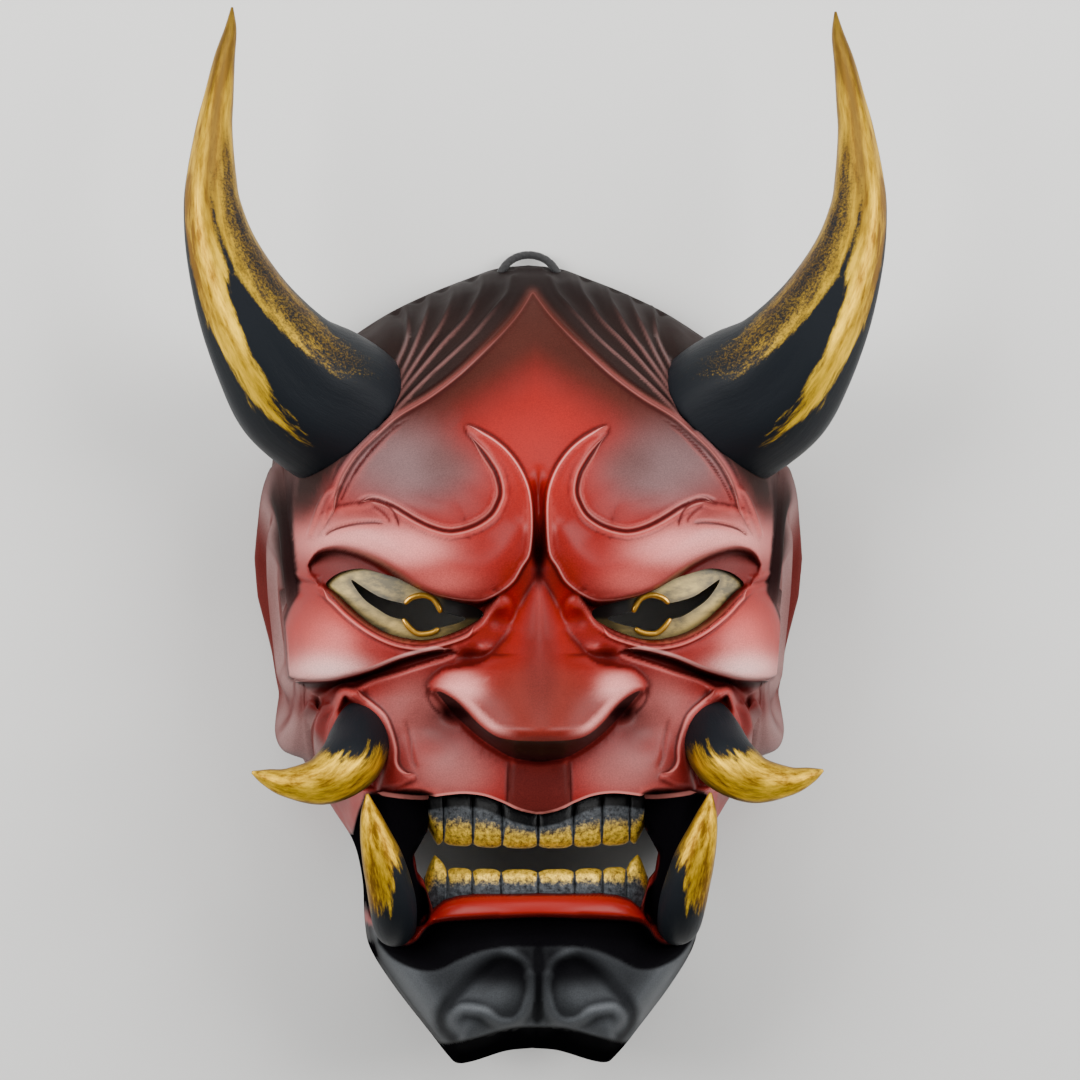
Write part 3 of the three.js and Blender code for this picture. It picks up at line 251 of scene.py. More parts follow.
EYE_HOLE = [[80.5, -16.9], [76.5, -13.2], [71, -11.3], [65.5, -11], [58.5, -12.8],
            [52.3, -14.7], [45.5, -18.2], [38, -21.3], [30.5, -23.2], [24, -25.1], [20.3, -27.8],
            [22.5, -30.5], [29.4, -34.2], [37, -36.9], [43.7, -38], [51.8, -36.9], [58.6, -34.6],
            [65.3, -30.4], [71.4, -25.1], [77, -20]]
LID = [[82.5, -16.7], [76.5, -21.9], [71.5, -27], [65, -32.3], [58.3, -36.2], [51.6, -38.5],
       [43.7, -39.3], [37, -37.9], [29, -35.2], [22.3, -31]]
CREASE_TOP = [[92, -53], [88, -53.8], [79, -53.7], [71, -52], [62.5, -49.4], [52.2, -45.2],
              [42.1, -42.5], [33.3, -41.2]]
CREASE_LOW = [[81.5, -68], [77, -63], [73.5, -56.8], [68.6, -56.5], [62.5, -53.5],
              [53, -50.8], [45.5, -48.3], [34.8, -44.8], [30, -43]]
NOSE = [[0, -7.5], [4, -12], [9.3, -22], [10.4, -28.5], [12.5, -35.5], [18, -43.6],
        [23, -47.3], [29, -48.2], [36, -49.4], [41, -54], [40.6, -57.2], [37.4, -57.4], [32.3, -60.4],
        [28, -64.6], [23, -70], [17, -74.4], [10, -76], [0, -76.4]]
NOSE_UNDER = [[39, -58], [34, -64], [29, -69.5], [23, -75], [17.4, -79], [10.5, -82.8],
              [2.5, -84.4], [0, -84.5]]
SOCKET = [[72.5, -59], [66, -63], [61.3, -67.5], [58.5, -72.8], [57.7, -78.6],
          [58.5, -85.3], [61, -94.5]]
SOCKET_BAND = [[68.6, -56.6], [63, -61], [57.6, -66], [55, -71.8], [53.2, -78.6], [53, -84],
               [51.8, -86.6], [49.4, -88.4], [46.5, -89]]
LIP_TOP = [[61.3, -96], [52.5, -97.4], [43, -98], [35, -97], [28, -96.5], [20.5, -97.5],
           [13.5, -100.2], [7.4, -103], [1.7, -104.4], [0, -104.5]]
MOUTH_SIDE = [[40, -142], [43.5, -131], [45.8, -127.7], [47, -120.5], [42, -111.3]]
LIP_IN = [[0, -135.5], [24, -135.8], [31, -136.7], [36, -138.5], [40, -142.3], [42.5, -146]]
LIP_OUT = [[0, -143.2], [24.3, -144], [36, -144.8], [42, -146.8], [46, -151.8], [50, -153.6],
           [56, -152.5], [60, -148.5]]
UNDER_LIP = [[0, -155], [13, -155.2], [22, -156.8], [30, -160], [38, -163.8], [46, -163.4],
             [54.5, -159.2], [60, -153]]
CORNER = [[40, -96.8], [61.3, -95.4], [66, -100], [68, -112], [66, -125], [63.5, -138],
          [60, -146], [46, -147], [41, -143.5], [42, -134], [44.2, -131], [45.8, -127.7],
          [47, -120.5], [44.5, -116], [42, -111.3]]
CUP = [[41, -144.3], [44, -149.5], [48.5, -152.7], [53.5, -153.4], [58, -151], [61, -146.5],
       [62.5, -141]]
CHIN_PAD = [[3.2, -167], [5.5, -160.5], [11, -157.2], [16.7, -157.5], [22, -160.4],
            [27, -165], [31.4, -170.6], [35, -176], [36.8, -181], [35.6, -186], [32, -189.5]]
CHIN_WAVE = [[35, -183.5], [31, -179.5], [27.5, -178], [21, -179.3], [15.4, -183],
             [9.5, -183.5], [5.2, -179.5], [3, -172], [3.2, -166]]
CHIN_EDGE = [[0, -185], [8, -185.2], [14.6, -186.5], [24, -189.2], [33, -191],
             [37.5, -190], [41, -186.5], [49, -176], [57, -163], [61, -152]]
# Ridges between the combed locks, from the crown to the temple
LOCKS = [
    [[7, 100], [10, 93], [17.5, 84.5], [25, 76.2], [35.2, 67], [44.2, 58.6], [52, 50.6], [58.5, 43]],
    [[18, 100.5], [19.2, 95], [25.2, 84.6], [33.8, 75.6], [42.2, 66], [50.6, 56], [57, 46.5]],
    [[29, 97.5], [30.4, 91.2], [35.5, 81], [42.5, 71], [50, 60], [56, 49.5]],
    [[37.5, 94.5], [38.8, 89], [42.2, 80.6], [46, 72], [51.5, 61.5], [56.5, 52]],
    [[47, 89.5], [46.6, 84], [48, 76], [52, 67], [56, 58]]]
# Grooves and ridges: a line, its rise in millimetres and its half width
FINE_LINES = [
    ([[51.7, 88], [49.4, 84.0], [49.6, 78], [52.5, 70]], -0.9, 1.3),
    ([[81.3, 0.8], [77.1, 3.8], [70.7, 5.7], [63.5, 6.5], [58.1, 6.1]], -1.3, 1.2),
    ([[67.6, 13.8], [64.3, 14.6], [60.0, 14.4], [55.9, 11.8], [53.8, 8.0], [53.2, 4.3]], -1.3, 1.2),
    ([[63.5, 13.8], [60.0, 11.2], [57.0, 8.0], [57.0, 6.1]], -1.0, 1.0),
    ([[76.8, 20.9], [80.9, 15.2], [84.0, 7.2], [86.3, 0.0]], 0.9, 1.6),
    ([[73.5, 21], [77.5, 14.5], [80.5, 6.5]], -0.9, 1.2),
    ([[82.5, -59.7], [86.6, -66.1], [88.2, -73.0], [86.6, -82.5]], 1.3, 1.7),
    ([[80.2, -59.9], [84, -67.4], [85.2, -74.6], [83.4, -83.4]], -1.2, 1.3),
    ([[77.9, -60.8], [81.7, -69.2], [82.1, -77.9], [80.2, -83.6]], 1.2, 1.6),
    ([[76, -61.2], [79.4, -69.4], [79.8, -77.4], [78.2, -82.6]], -1.0, 1.1),
    ([[38.2, -52.4], [40.9, -55.6], [41.6, -59.7], [39.7, -63.5], [36, -66.5]], -0.9, 1.2),
    ([[80.5, -16.4], [86, -16.8], [92, -15]], -0.9, 1.2),
    ([[81, -14.2], [86, -14.2], [91, -12]], 0.6, 1.2),
    ([[19.4, -19], [15.2, -20.0], [10.6, -22.4], [9.0, -27.4], [11.6, -33.4]], -0.8, 1.5),
    ([[50.2, -67.5], [48.2, -76], [47.6, -83], [45.5, -87.6]], -0.5, 1.4),
]
HAIR_SLOT = [[47.1, 46.7], [54.7, 42.9], [62.7, 35.3], [68.8, 27.4], [73.3, 19.0], [75.0, 14.8],
             [73.7, 15.2], [69.9, 22.8], [63.8, 31.2], [55.5, 40.3]]


def ease(v, start, end):
    """Smooth step: 0 up to start, 1 from end on, and three t squared less two t cubed between."""
    t = np.clip((v - start) / (end - start), 0, 1)
    return t * t * (3 - 2 * t)


def hump(d, width):
    """Bell of height 1 that meets 0 smoothly at a distance of width: one less the distance squared,
    and all of that squared."""
    return (1 - np.clip(np.abs(d) / width, 0, 1) ** 2) ** 2


def roll(d, width):
    """Quarter circle that rises from 0 at an edge to 1 at a depth of width: the root of one less the
    square of the depth that is left."""
    return np.sqrt(1 - (1 - np.clip(d / width, 0, 1)) ** 2)


def mixed(a, b, share):
    """a where share is 0, b where it is 1, and in between in proportion."""
    return a * (1 - share) + b * share


def soft_max(a, b, blend):
    """The larger of two heights, with their crossing rounded over a width of blend."""
    h = np.clip(0.5 + 0.5 * (a - b) / blend, 0, 1)
    return mixed(b, a, h) + blend * h * (1 - h)


def soft_min(a, b, blend):
    """The smaller of two heights, rounded the same way."""
    return -soft_max(-a, -b, blend)


def drawn(points, steps=6, closed=False):
    """A smooth line through points: the cubic between two of them leaves each with half the step from
    the point before it to the point after it."""
    p = np.asarray(points, float)
    if closed:
        p = np.vstack([p[-1:], p, p[:2]])
    else:
        p = np.vstack([2 * p[0] - p[1], p, 2 * p[-1] - p[-2]])
    a, b, c, d = (q[:, None] for q in (p[:-3], p[1:-2], p[2:-1], p[3:]))
    t = (np.arange(steps) / steps)[None, :, None]
    line = 0.5 * (2 * b + (c - a) * t + (2 * a - 5 * b + 4 * c - d) * t ** 2
                  + (3 * b - 3 * c + d - a) * t ** 3)
    line = line.reshape(-1, p.shape[1])
    return line if closed else np.vstack([line, p[-2]])


def to_line(line, x, y, reach, closed=False, signed=False):
    """Distance from each point to a line, no more than reach, and the share of the line's length at
    which its nearest spot lies. Each straight piece of the line is tried on all points in its box.
    A signed distance is negative to the right of the line's own direction."""
    line = np.asarray(line, float)
    starts = line if closed else line[:-1]
    steps = (np.roll(line, -1, 0) if closed else line[1:]) - starts
    lengths = np.hypot(steps[:, 0], steps[:, 1])
    before = np.concatenate([[0], np.cumsum(lengths)])
    distance, along = np.full(x.size, float(reach)), np.zeros(x.size)
    low, high = line.min(0) - reach, line.max(0) + reach
    near = np.flatnonzero((x > low[0]) & (x < high[0]) & (y > low[1]) & (y < high[1]))
    px, py = x[near], y[near]
    best, at, turn = np.full(near.size, float(reach) ** 2), np.zeros(near.size), np.ones(near.size)
    for (ax, ay), (ux, uy), length, run in zip(starts, steps, lengths, before):
        t = np.clip(((px - ax) * ux + (py - ay) * uy) / max(length ** 2, 1e-9), 0, 1)
        apart = (px - ax - t * ux) ** 2 + (py - ay - t * uy) ** 2
        closer = apart < best
        best[closer] = apart[closer]
        at[closer] = (run + t * length)[closer]
        turn[closer] = np.where(ux * (py - ay) > uy * (px - ax), 1, -1)[closer]
    distance[near], along[near] = np.sqrt(best) * (turn if signed else 1), at / before[-1]
    return distance, along


def depth_in(loop, x, y, reach=9.0):
    """Distance to a closed loop, positive inside it: a point is inside where a line to its right
    crosses the loop an odd number of times."""
    loop = np.asarray(loop, float)
    distance, _ = to_line(loop, x, y, reach, True)
    low, high = loop.min(0), loop.max(0)
    near = np.flatnonzero((x > low[0]) & (x < high[0]) & (y > low[1]) & (y < high[1]))
    px, py = x[near], y[near]
    odd = np.zeros(near.size, bool)
    for (x0, y0), (x1, y1) in zip(loop, np.roll(loop, 1, 0)):
        if y0 != y1:
            odd ^= ((y0 > py) != (y1 > py)) & (px < (x1 - x0) * (py - y0) / (y1 - y0) + x0)
    inside = np.zeros(x.size, bool)
    inside[near] = odd
    return np.where(inside, distance, -distance)


def inside(loop, x, y, start, end, reach=9.0):
    """0 where a point's depth inside a closed loop is below start, 1 where it is above end."""
    return ease(depth_in(loop, x, y, reach), start, end)


outline = drawn(OUTLINE, 8)
hairline, strands = drawn(HAIRLINE), [drawn(s) for s in STRANDS]
swirl_out, swirl_in, brow, lid = drawn(SWIRL_OUT), drawn(SWIRL_IN), drawn(BROW), drawn(LID)
crease_top, crease_low = drawn(CREASE_TOP), drawn(CREASE_LOW)
nose, nose_under = drawn(NOSE, 5), drawn(NOSE_UNDER)
socket, socket_band, lip_top = drawn(SOCKET), drawn(SOCKET_BAND), drawn(LIP_TOP)
lip_in, lip_out, under_lip = drawn(LIP_IN), drawn(LIP_OUT), drawn(UNDER_LIP)
corner, cup = drawn(CORNER, 4, True), drawn(CUP)
chin_pad, chin_wave, chin_edge = drawn(CHIN_PAD), drawn(CHIN_WAVE), drawn(CHIN_EDGE)
locks, fine_lines = [drawn(line) for line in LOCKS], [(drawn(a), *rest) for a, *rest in FINE_LINES]

hair_area = np.vstack([[-20, 125], [-20, 93.5], hairline, [[84, 0], [120, 0], [120, 125]]])
lobe_area = np.vstack([swirl_out, [[88, 6], [78, 12]], swirl_in[::-1]])
eye_area = np.vstack([swirl_out[len(swirl_out) // 2:], [[85.5, -13]], lid, [[19.5, -27]]])
cheek_area = np.vstack([lid[::-1], [[86, -12], [98, -20], [98, -50]], crease_top])
crease_area = np.vstack([crease_top, crease_low[::-1]])
nose_area = np.vstack([nose, [[-60, -76.4], [-60, -7.5]]])
wing_to_tip = nose[55:]
under_nose_area = np.vstack([[[0, -70], [30, -58], [39, -56]], nose_under, [[-50, -84.5], [-50, -70]]])
socket_area = np.vstack([socket, [[75, -96], [78, -70]]])
band_area = np.vstack([socket_band, [[46.5, -91], [53, -94], [61, -94.5]], socket[::-1]])
lower_lip_area = np.vstack([[-20, -135.5], lip_in, [[44.5, -149]], lip_out[lip_out[:, 0] < 47][::-1],
                            [[-20, -143.2]]])
under_lip_area = np.vstack([[-20, -143.2], lip_out, under_lip[::-1], [[-20, -155]]])
pad_area = np.vstack([chin_pad, chin_wave])
under_chin_area = np.vstack([[-20, -185], chin_edge, [[90, -150], [90, -215], [-20, -215]]])
below_lip_area = np.vstack([[-20, -143.2], lip_out, [[66, -140], [90, -150], [90, -230], [-20, -230]]])
outline_turns = np.arctan2(outline[:, 0], outline[:, 1] - MIDDLE_Y)
outline_reach = np.hypot(outline[:, 0], outline[:, 1] - MIDDLE_Y)


def rim_height(y):
    """The rim lies flat under the face and lifts smoothly off the ground towards the chin."""
    return RIM_RISE * ease(-y, 88, 190)


def ring_of(x, y):
    """Share of the way from the shell's middle to its outline, and the bearing from +Y."""
    turn = np.arctan2(x, y - MIDDLE_Y)
    return np.hypot(x, y - MIDDLE_Y) / np.interp(turn, outline_turns, outline_reach), turn


def dome(x, y):
    """The plain shell before carving: a root of one less the ring to a power, so it is flat on top and
    steep at the rim."""
    ring, _ = ring_of(x, y)
    power = 3.1 + 1.6 * ease(-y, -60, 0) - ease(-y, 90, 140)
    rim = rim_height(MIDDLE_Y + (y - MIDDLE_Y) / np.maximum(ring, 1e-6))
    return rim + (FACE_HEIGHT - rim) * np.sqrt(np.maximum(0, 1 - np.minimum(ring, 1) ** power))


def oval(x, y, at, half, power=2):
    """Bell round a point: e raised to less a power of the distance, which is counted in half widths
    and half heights."""
    return np.exp(-(np.hypot((x - at[0]) / half[0], (y - at[1]) / half[1]) ** power))


def eyeball(x, y):
    """The eye's curve, a bowl upside down: its height falls with the square of each distance."""
    return 91 - 0.0105 * (x - 40) ** 2 - 0.01 * (y + 26) ** 2


def carved(px, y):
    """Height of the carved face over any point: the dome, with the brow's swell and swirl, the hair's
    raised edge, the eye's hollow, the cheek, muzzle, nose, tusk sockets, jaw and chin laid into it in
    that order, each blended in by its depth inside its own outline."""
    x = np.abs(px)
    ring, _ = ring_of(x, y)
    side = ease(1 - ring, 0, 0.1)
    z = dome(x, y)

    # Brow, its curled end, the bulb inside the curl and the furrow between the brows
    swell, swell_along = to_line(brow, x, y, 45)
    out, _ = to_line(swirl_out, x, y, 6)
    inner, inner_along = to_line(swirl_in, x, y, 6)
    z = z + side * (12.5 - 6 * swell_along) * np.exp(-((swell / 14) ** 2))
    z += side * 3 * roll(depth_in(lobe_area, x, y), 3.2) * ease(out, 0, 0.1) * ease(86 - x, 0, 12)
    z -= side * 1.7 * hump(inner, 1.5) * ease(inner_along, 0, 0.15)
    z += side * 2.6 * oval(x, y, (36, 22), (17, 13))
    z -= side * 2.2 * oval(x, y, (40, 15), (12, 6.6))
    z -= side * 7 * ease(-y, -30, -14) * ease(y, -12, -4) * hump(x, 4.5)

    # Hair cap
    in_hair = depth_in(hair_area, x, y)
    rise = 2.6 * roll(in_hair, 1.6)
    for strand in strands:
        apart, along = to_line(strand, x, y, 4)
        rise = rise - 1.7 * hump(apart, 1.8) * ease(along, 0, 0.1)
    z += np.where(in_hair < 0, 0, rise) * ease(y, -6, 14) * ease(1 - ring, 0, 0.03)

    # Eye's hollow
    z = mixed(z, np.minimum(z, eyeball(x, y) + 2), inside(eye_area, x, y, -0.3, 0.9))

    # Cheek and lower eyelid
    cheek = depth_in(cheek_area, x, y)
    across = np.abs(x - 60) / 36.5
    body = 1 - np.where(x > 60, across ** 2.6, across ** 2) - ((y + 40) / 33) ** 2
    pillow = 40 + 58 * np.sqrt(np.maximum(0, body))
    z = mixed(z, soft_max(z, pillow, 6), ease(cheek, -0.2, 1))
    rim, rim_along = to_line(lid, x, y, 5)
    lid_share = ease(rim_along, 0, 0.08) * ease(1 - rim_along, 0, 0.1)
    z += lid_share * (2.2 * hump(rim, 1.9) - 0.7 * hump(rim - 1.0, 0.45) - 0.9 * hump(rim - 2.6, 1.2))

    # Muzzle and the crease under the cheek
    muzzle = 112 - 0.0062 * x ** 2 - 0.001 * (y + 95) ** 2
    share = (ease(-y, 38, 60) * (1 - ease(cheek, -1.2, 0.4))
             * ease(72 - x, 0, 8) * ease(y, -118, -108))
    z = mixed(z, soft_min(np.maximum(muzzle, dome(x, y) - 3), muzzle, 6), share)
    valley = (4 + 10 * ease(x, 50, 80)) * (1 - ease(x, 80, 93))
    z -= valley * ease(depth_in(crease_area, x, y), -0.4, 1.6 + 5 * ease(x, 72, 84))

    # Nose, nostrils and philtrum
    in_nose = depth_in(nose_area, x, y)
    below = inside(under_nose_area, x, y, -0.3, 0.5) * (1 - ease(in_nose, 0.6, 1.4))
    edge, _ = to_line(wing_to_tip, x, y, 16)
    under = np.interp(x, [0, 10, 20, 30, 38], [134, 132, 126, 117, 111]) - 2.6 * edge
    z = mixed(z, soft_max(z, under, 1.5), below)
    width = np.interp(-y, [4, 9, 22, 35, 44, 50, 56, 62, 70, 77],
                      [2.5, 4, 9.5, 12.5, 19, 36, 41, 35, 28, 26])
    ridge = np.interp(-y, [4, 9, 20, 38, 60, 72, 77], [103, 106, 110.5, 117.5, 131, 137.5, 136.5])
    fall = np.interp(-y, [4, 20, 40, 56, 77], [3, 12, 16, 20, 17])
    hood = ridge - fall * np.clip(x / width, 0, 1.3) ** 1.7
    hood -= 1.9 * (1 - roll(edge, 4)) * ease(-y, 50, 58)
    z = mixed(z, soft_max(z, hood, 2), ease(in_nose, -0.6, 0.8))
    outside = 1 - ease(in_nose, -1, 0.5)
    z -= 7 * oval(x, y, (31, -65.5), (4.5, 3)) * outside
    z -= 4 * oval(x, y, (40, -72), (9, 9)) * outside
    z -= 4 * oval(x, y, (25.5, -44.5), (5, 2.6)) * outside
    philtrum = np.interp(-y, [82, 90, 99, 106], [10.5, 11.2, 11.6, 12.5])
    z += 2.2 * ease(philtrum - x, -0.6, 0.6) * ease(-y, 79, 83) * ease(y, -106, -103)

    # Socket of the cheek tusk and its raised band
    z += 1.6 * inside(band_area, x, y, -0.3, 1)
    z = mixed(z, np.minimum(z, 78), inside(socket_area, x, y, -0.2, 0.8))

    # Jaw, lower lip, cup and the pillar at the mouth's corner
    jaw = 107 - 0.0088 * x ** 2 - 0.0014 * (y + 160) ** 2
    z = mixed(z, soft_min(jaw, dome(x, y) + 22, 5), ease(-y, 96, 124))
    from_lip, _ = to_line(lip_out, x, y, 14)
    lip_share = from_lip / (from_lip + to_line(under_lip, x, y, 14)[0] + 1e-6)
    z -= 8.5 * (1 - lip_share) ** 1.3 * inside(under_lip_area, x, y, -0.2, 0.8)
    lip = jaw + 2 + 4.5 * roll(to_line(lip_in, x, y, 14)[0], 6.5)
    z = mixed(z, lip, inside(lower_lip_area, x, y, -0.4, 0.6))
    z += 4.5 * hump(to_line(cup, x, y, 4)[0], 2.4)
    post = 78 + 14 * np.sqrt(np.maximum(0, 1 - ((x - 55) / 17) ** 2)) - 0.004 * (y + 118) ** 2
    z = mixed(z, soft_min(post, dome(x, y) + 16, 5), inside(corner, x, y, -0.2, 0.9))

    # Chin
    rim, rim_along = to_line(chin_pad, x, y, 4)
    wave, wave_along = to_line(chin_wave, x, y, 5)
    z -= 3.6 * inside(pad_area, x, y, -1, 5.5) * (1 - 0.55 * ease(-y, 165, 180))
    z += 1.2 * hump(rim, 3) * ease(rim_along, 0, 0.1) * ease(1 - rim_along, 0.5, 0.85)
    z += 2.2 * hump(wave, 3.8) * ease(wave_along, 0, 0.2)
    z -= 1.6 * hump(x, 3) * ease(-y, 150, 158) * ease(y, -190, -180)
    past = depth_in(under_chin_area, x, y, 30)
    z = np.where(past > 0, np.maximum(z - 2.4 * past, rim_height(y)), z)

    floor = rim_height(MIDDLE_Y + (y - MIDDLE_Y) / np.maximum(ring, 1e-6))
    return mixed(z, floor, ease(ring, 0.9975, 1))


def fine_relief(x, y):
    """What a small gouge cuts: ridges with a hollow beside each between the locks, a thin raised border
    and a groove along the brow's swirl, double eyelids, the fine lines, the slot beside the hairline,
    knobs at the eye's inner corner, and waves where the locks run over the crown's edge."""
    height = np.zeros(x.size)
    for line in locks:
        aside, along = to_line(line, x, y, 9, signed=True)
        width = mixed(1.4, 0.75, along)
        fade = ease(1 - along, 0, 0.1)
        height += fade * (0.75 * hump(aside, width) - 1.1 * hump(aside - 2.9 * width, 2.7 * width))
    height -= 0.8 * hump(depth_in(hair_area, x, y) - 3.4, 1.1) * ease(x, 1, 8) * ease(y, 10, 30)
    aside, along = to_line(swirl_out, x, y, 6, signed=True)
    fade = ease(along, 0, 0.05) * ease(0.66 - along, 0, 0.12)
    height += fade * (0.55 * hump(aside - 1.0, 1.0) - 0.4 * hump(aside - 2.7, 1.1))
    aside, along = to_line(swirl_in, x, y, 6, signed=True)
    fade = ease(along, 0.08, 0.25) * ease(1 - along, 0, 0.06)
    height += fade * (0.5 * hump(aside - 1.9, 1.0) + 0.5 * hump(aside + 1.8, 0.9)
                      - 0.5 * hump(aside + 3.3, 0.9))
    aside, along = to_line(lid, x, y, 6, signed=True)
    fade = ease(along, 0, 0.06) * ease(1 - along, 0, 0.08)
    height += fade * (0.7 * hump(aside - 2.2, 0.9) - 0.9 * hump(aside - 0.9, 0.8))
    for line, rise, width in fine_lines:
        apart, along = to_line(line, x, y, 4)
        height += rise * hump(apart, width) * ease(along, 0, 0.12) * ease(1 - along, 0, 0.12)
    height -= 1.6 * inside(HAIR_SLOT, x, y, -0.2, 0.9)
    height += 1.3 * oval(x, y, (14, -24.4), (3.2, 3.0)) - 1.2 * oval(x, y, (14.5, -30.5), (3.6, 3.2), 3)
    height += 1.6 * oval(x, y, (20.4, -40.8), (2.6, 1.6))
    crown = ease(y, 60, 84)
    return height - 0.55 * crown * (0.5 + 0.5 * np.cos(0.62 * x)) * ease(np.hypot(x, y), 90, 98)


def placed(x, y, z):
    """A laid-out point in its true place: what is nearer the camera looks larger, so it is drawn in."""
    k = 1 - (z - TRUE_AT) / SEEN_FROM
    return np.stack([x * k, y * k + CENTRE_SHIFT, z], -1)


def at_eye_level(x):
    """The one height at which the eye's outlines are brought to their true places."""
    return np.full(np.shape(x), EYE_LEVEL)


def laid_out(points):
    """The reverse: where points in their true places were laid out."""
    k = 1 - (points[:, 2] - TRUE_AT) / SEEN_FROM
    return points[:, 0] / k, (points[:, 1] - CENTRE_SHIFT) / k


def smoothed(height, passes):
    """A height field after so many rounds in which every point is a half of itself and a quarter of
    each neighbour, first up and down and then to the sides. Past the mirror line they repeat."""
    for _ in range(passes):
        wide = np.pad(height, ((1, 1), (0, 0)), "edge")
        height = (wide[:-2] + 2 * wide[1:-1] + wide[2:]) / 4
        wide = np.pad(height, ((0, 0), (1, 1)), "reflect")
        height = (wide[:, :-2] + 2 * wide[:, 1:-1] + wide[:, 2:]) / 4
    return height


COLUMNS, ROWS, LATTICE = ((201, 561, 0.55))
LATTICE_LOW = -202.0
DISC_HALF_WIDTH, DISC_HALF_HEIGHT = 93, 150
HOLLOW_RINGS, HOLLOW_SPOKES = 26, 71


def border_of(rows, columns):
    """Indices round the edge of a grid, clockwise from its upper left corner."""
    across, down = np.arange(columns), np.arange(rows)
    return np.concatenate([(rows - 1) * columns + across, (down[::-1] * columns + columns - 1)[1:],
                           across[::-1][1:], (down * columns)[1:-1]])


def on_lattice(field, x, y):
    """A field of the lattice at any laid-out point, in proportion between the four nearest."""
    column = np.clip(np.abs(x) / LATTICE, 0, field.shape[1] - 1.001)
    row = np.clip((y - LATTICE_LOW) / LATTICE, 0, field.shape[0] - 1.001)
    i, j = row.astype(int), column.astype(int)
    low = mixed(field[i, j], field[i, j + 1], column - j)
    return mixed(low, mixed(field[i + 1, j], field[i + 1, j + 1], column - j), row - i)


def both_halves(right):
    """The whole grid of points from its right half, whose first column lies on the mirror line."""
    return np.concatenate([(right * [-1, 1, 1])[:, :0:-1], right], axis=1)


# A square grid laid on a disc has no crowded middle. The cubic t(3 - t squared) / 2 crowds its lines
# towards the rim, where the shell is steep. Near the middle the disc is a plain oval, so that the lines
# run through it without a kink, and further out it takes on the outline by the square of the radius.
along_u, along_v = np.meshgrid(np.linspace(0, 1, COLUMNS), np.linspace(-1, 1, ROWS), indexing="xy")
square_u, square_v = along_u * (3 - along_u ** 2) / 2, along_v * (3 - along_v ** 2) / 2
disc_x = square_u * np.sqrt(1 - square_v ** 2 / 2)
disc_y = square_v * np.sqrt(1 - square_u ** 2 / 2)
bearing = np.arctan2(disc_x, disc_y)
share = np.hypot(disc_x, disc_y)
reach = share * np.interp(bearing, outline_turns, outline_reach)
front_x = mixed(DISC_HALF_WIDTH * disc_x, reach * np.sin(bearing), share ** 2)
front_y = MIDDLE_Y + mixed(DISC_HALF_HEIGHT * disc_y, reach * np.cos(bearing), share ** 2)
front_x[:, 0] = 0.0
front_z = smoothed(carved(front_x.ravel(), front_y.ravel()).reshape(front_x.shape), 2)
on_rim = np.zeros(front_x.shape, bool)
on_rim[[0, -1]] = on_rim[:, -1] = True
front_z[on_rim] = rim_height(front_y[on_rim])
fine = smoothed(fine_relief(front_x.ravel(), front_y.ravel()).reshape(front_x.shape), 1)
fine *= ease(front_z - rim_height(front_y), 1, 8)
front = both_halves(placed(front_x, front_y, front_z))
normal = np.cross(np.gradient(front, axis=1), np.gradient(front, axis=0))
normal /= np.maximum(np.linalg.norm(normal, axis=2, keepdims=True), 1e-9)
front = front + normal * np.concatenate([fine[:, :0:-1], fine], axis=1)[..., None]

# How far each spot stands above or lies below its near and its wider surroundings, on a plain lattice.
# The paint uses it for painted highlight on ridges and painted shade in hollows.
lattice_x, lattice_y = np.meshgrid(np.arange(0, 101, LATTICE), np.arange(LATTICE_LOW, 108, LATTICE),
                                   indexing="xy")
relief = (carved(lattice_x.ravel(), lattice_y.ravel())
          + fine_relief(lattice_x.ravel(), lattice_y.ravel())).reshape(lattice_x.shape)
edge_light = np.clip((relief - smoothed(relief, int(2.4 / LATTICE ** 2))) / 0.35, -1, 1)
form_light = np.clip((relief - smoothed(relief, int(27 / LATTICE ** 2))) / 2.5, -1, 1)

# The hollow keeps a wall's thickness below the lowest spot of the face near each of its points.
hollow_bearing = np.linspace(0, np.pi, HOLLOW_SPOKES)
ring_share, bearing = np.meshgrid(1 - (1 - np.arange(1, HOLLOW_RINGS + 1) / HOLLOW_RINGS) ** 2,
                                  hollow_bearing, indexing="ij")
reach = ring_share * (np.interp(bearing, outline_turns, outline_reach) - WALL_AT_RIM)
back_x, back_y = reach * np.sin(bearing), MIDDLE_Y + reach * np.cos(bearing)
lowest = np.full(back_x.shape, np.inf)
eight_ways = np.exp(0.25j * np.pi * np.arange(8))
for step in [0, *(4 * eight_ways), *(8 * eight_ways)]:
    step_x, step_y = np.real(step), np.imag(step)
    near_x, near_y = np.abs(back_x + step_x).ravel(), (back_y + step_y).ravel()
    nearby = np.where(ring_of(near_x, near_y)[0] < 0.985, carved(near_x, near_y), np.inf)
    lowest = np.minimum(lowest, nearby.reshape(back_x.shape))
rim = rim_height(MIDDLE_Y + np.interp(bearing, outline_turns, outline_reach) * np.cos(bearing))
rise = np.maximum(lowest - WALL - rim, 4) * np.sqrt(np.maximum(0, 1 - ring_share ** 16))
rise[-1] = 0
rows, columns = front.shape[:2]
border = border_of(rows, columns)
whole_disc_x = np.concatenate([-disc_x[:, :0:-1], disc_x], axis=1).ravel()[border]
whole_disc_y = np.concatenate([disc_y[:, :0:-1], disc_y], axis=1).ravel()[border]
around = np.arctan2(whole_disc_x, whole_disc_y)
to_rim = np.interp(np.abs(around), outline_turns, outline_reach)
share = ring_share[:, :1] * np.ones(len(border))
reach = share * (to_rim - WALL_AT_RIM)
back_x, back_y = reach * np.sin(around), MIDDLE_Y + reach * np.cos(around)
back_z = rim_height(MIDDLE_Y + to_rim * np.cos(around)) + np.stack(
    [np.interp(np.abs(around), hollow_bearing, one) for one in rise])
back = placed(back_x, back_y, back_z)
middle_back = back[0].mean(0, keepdims=True)

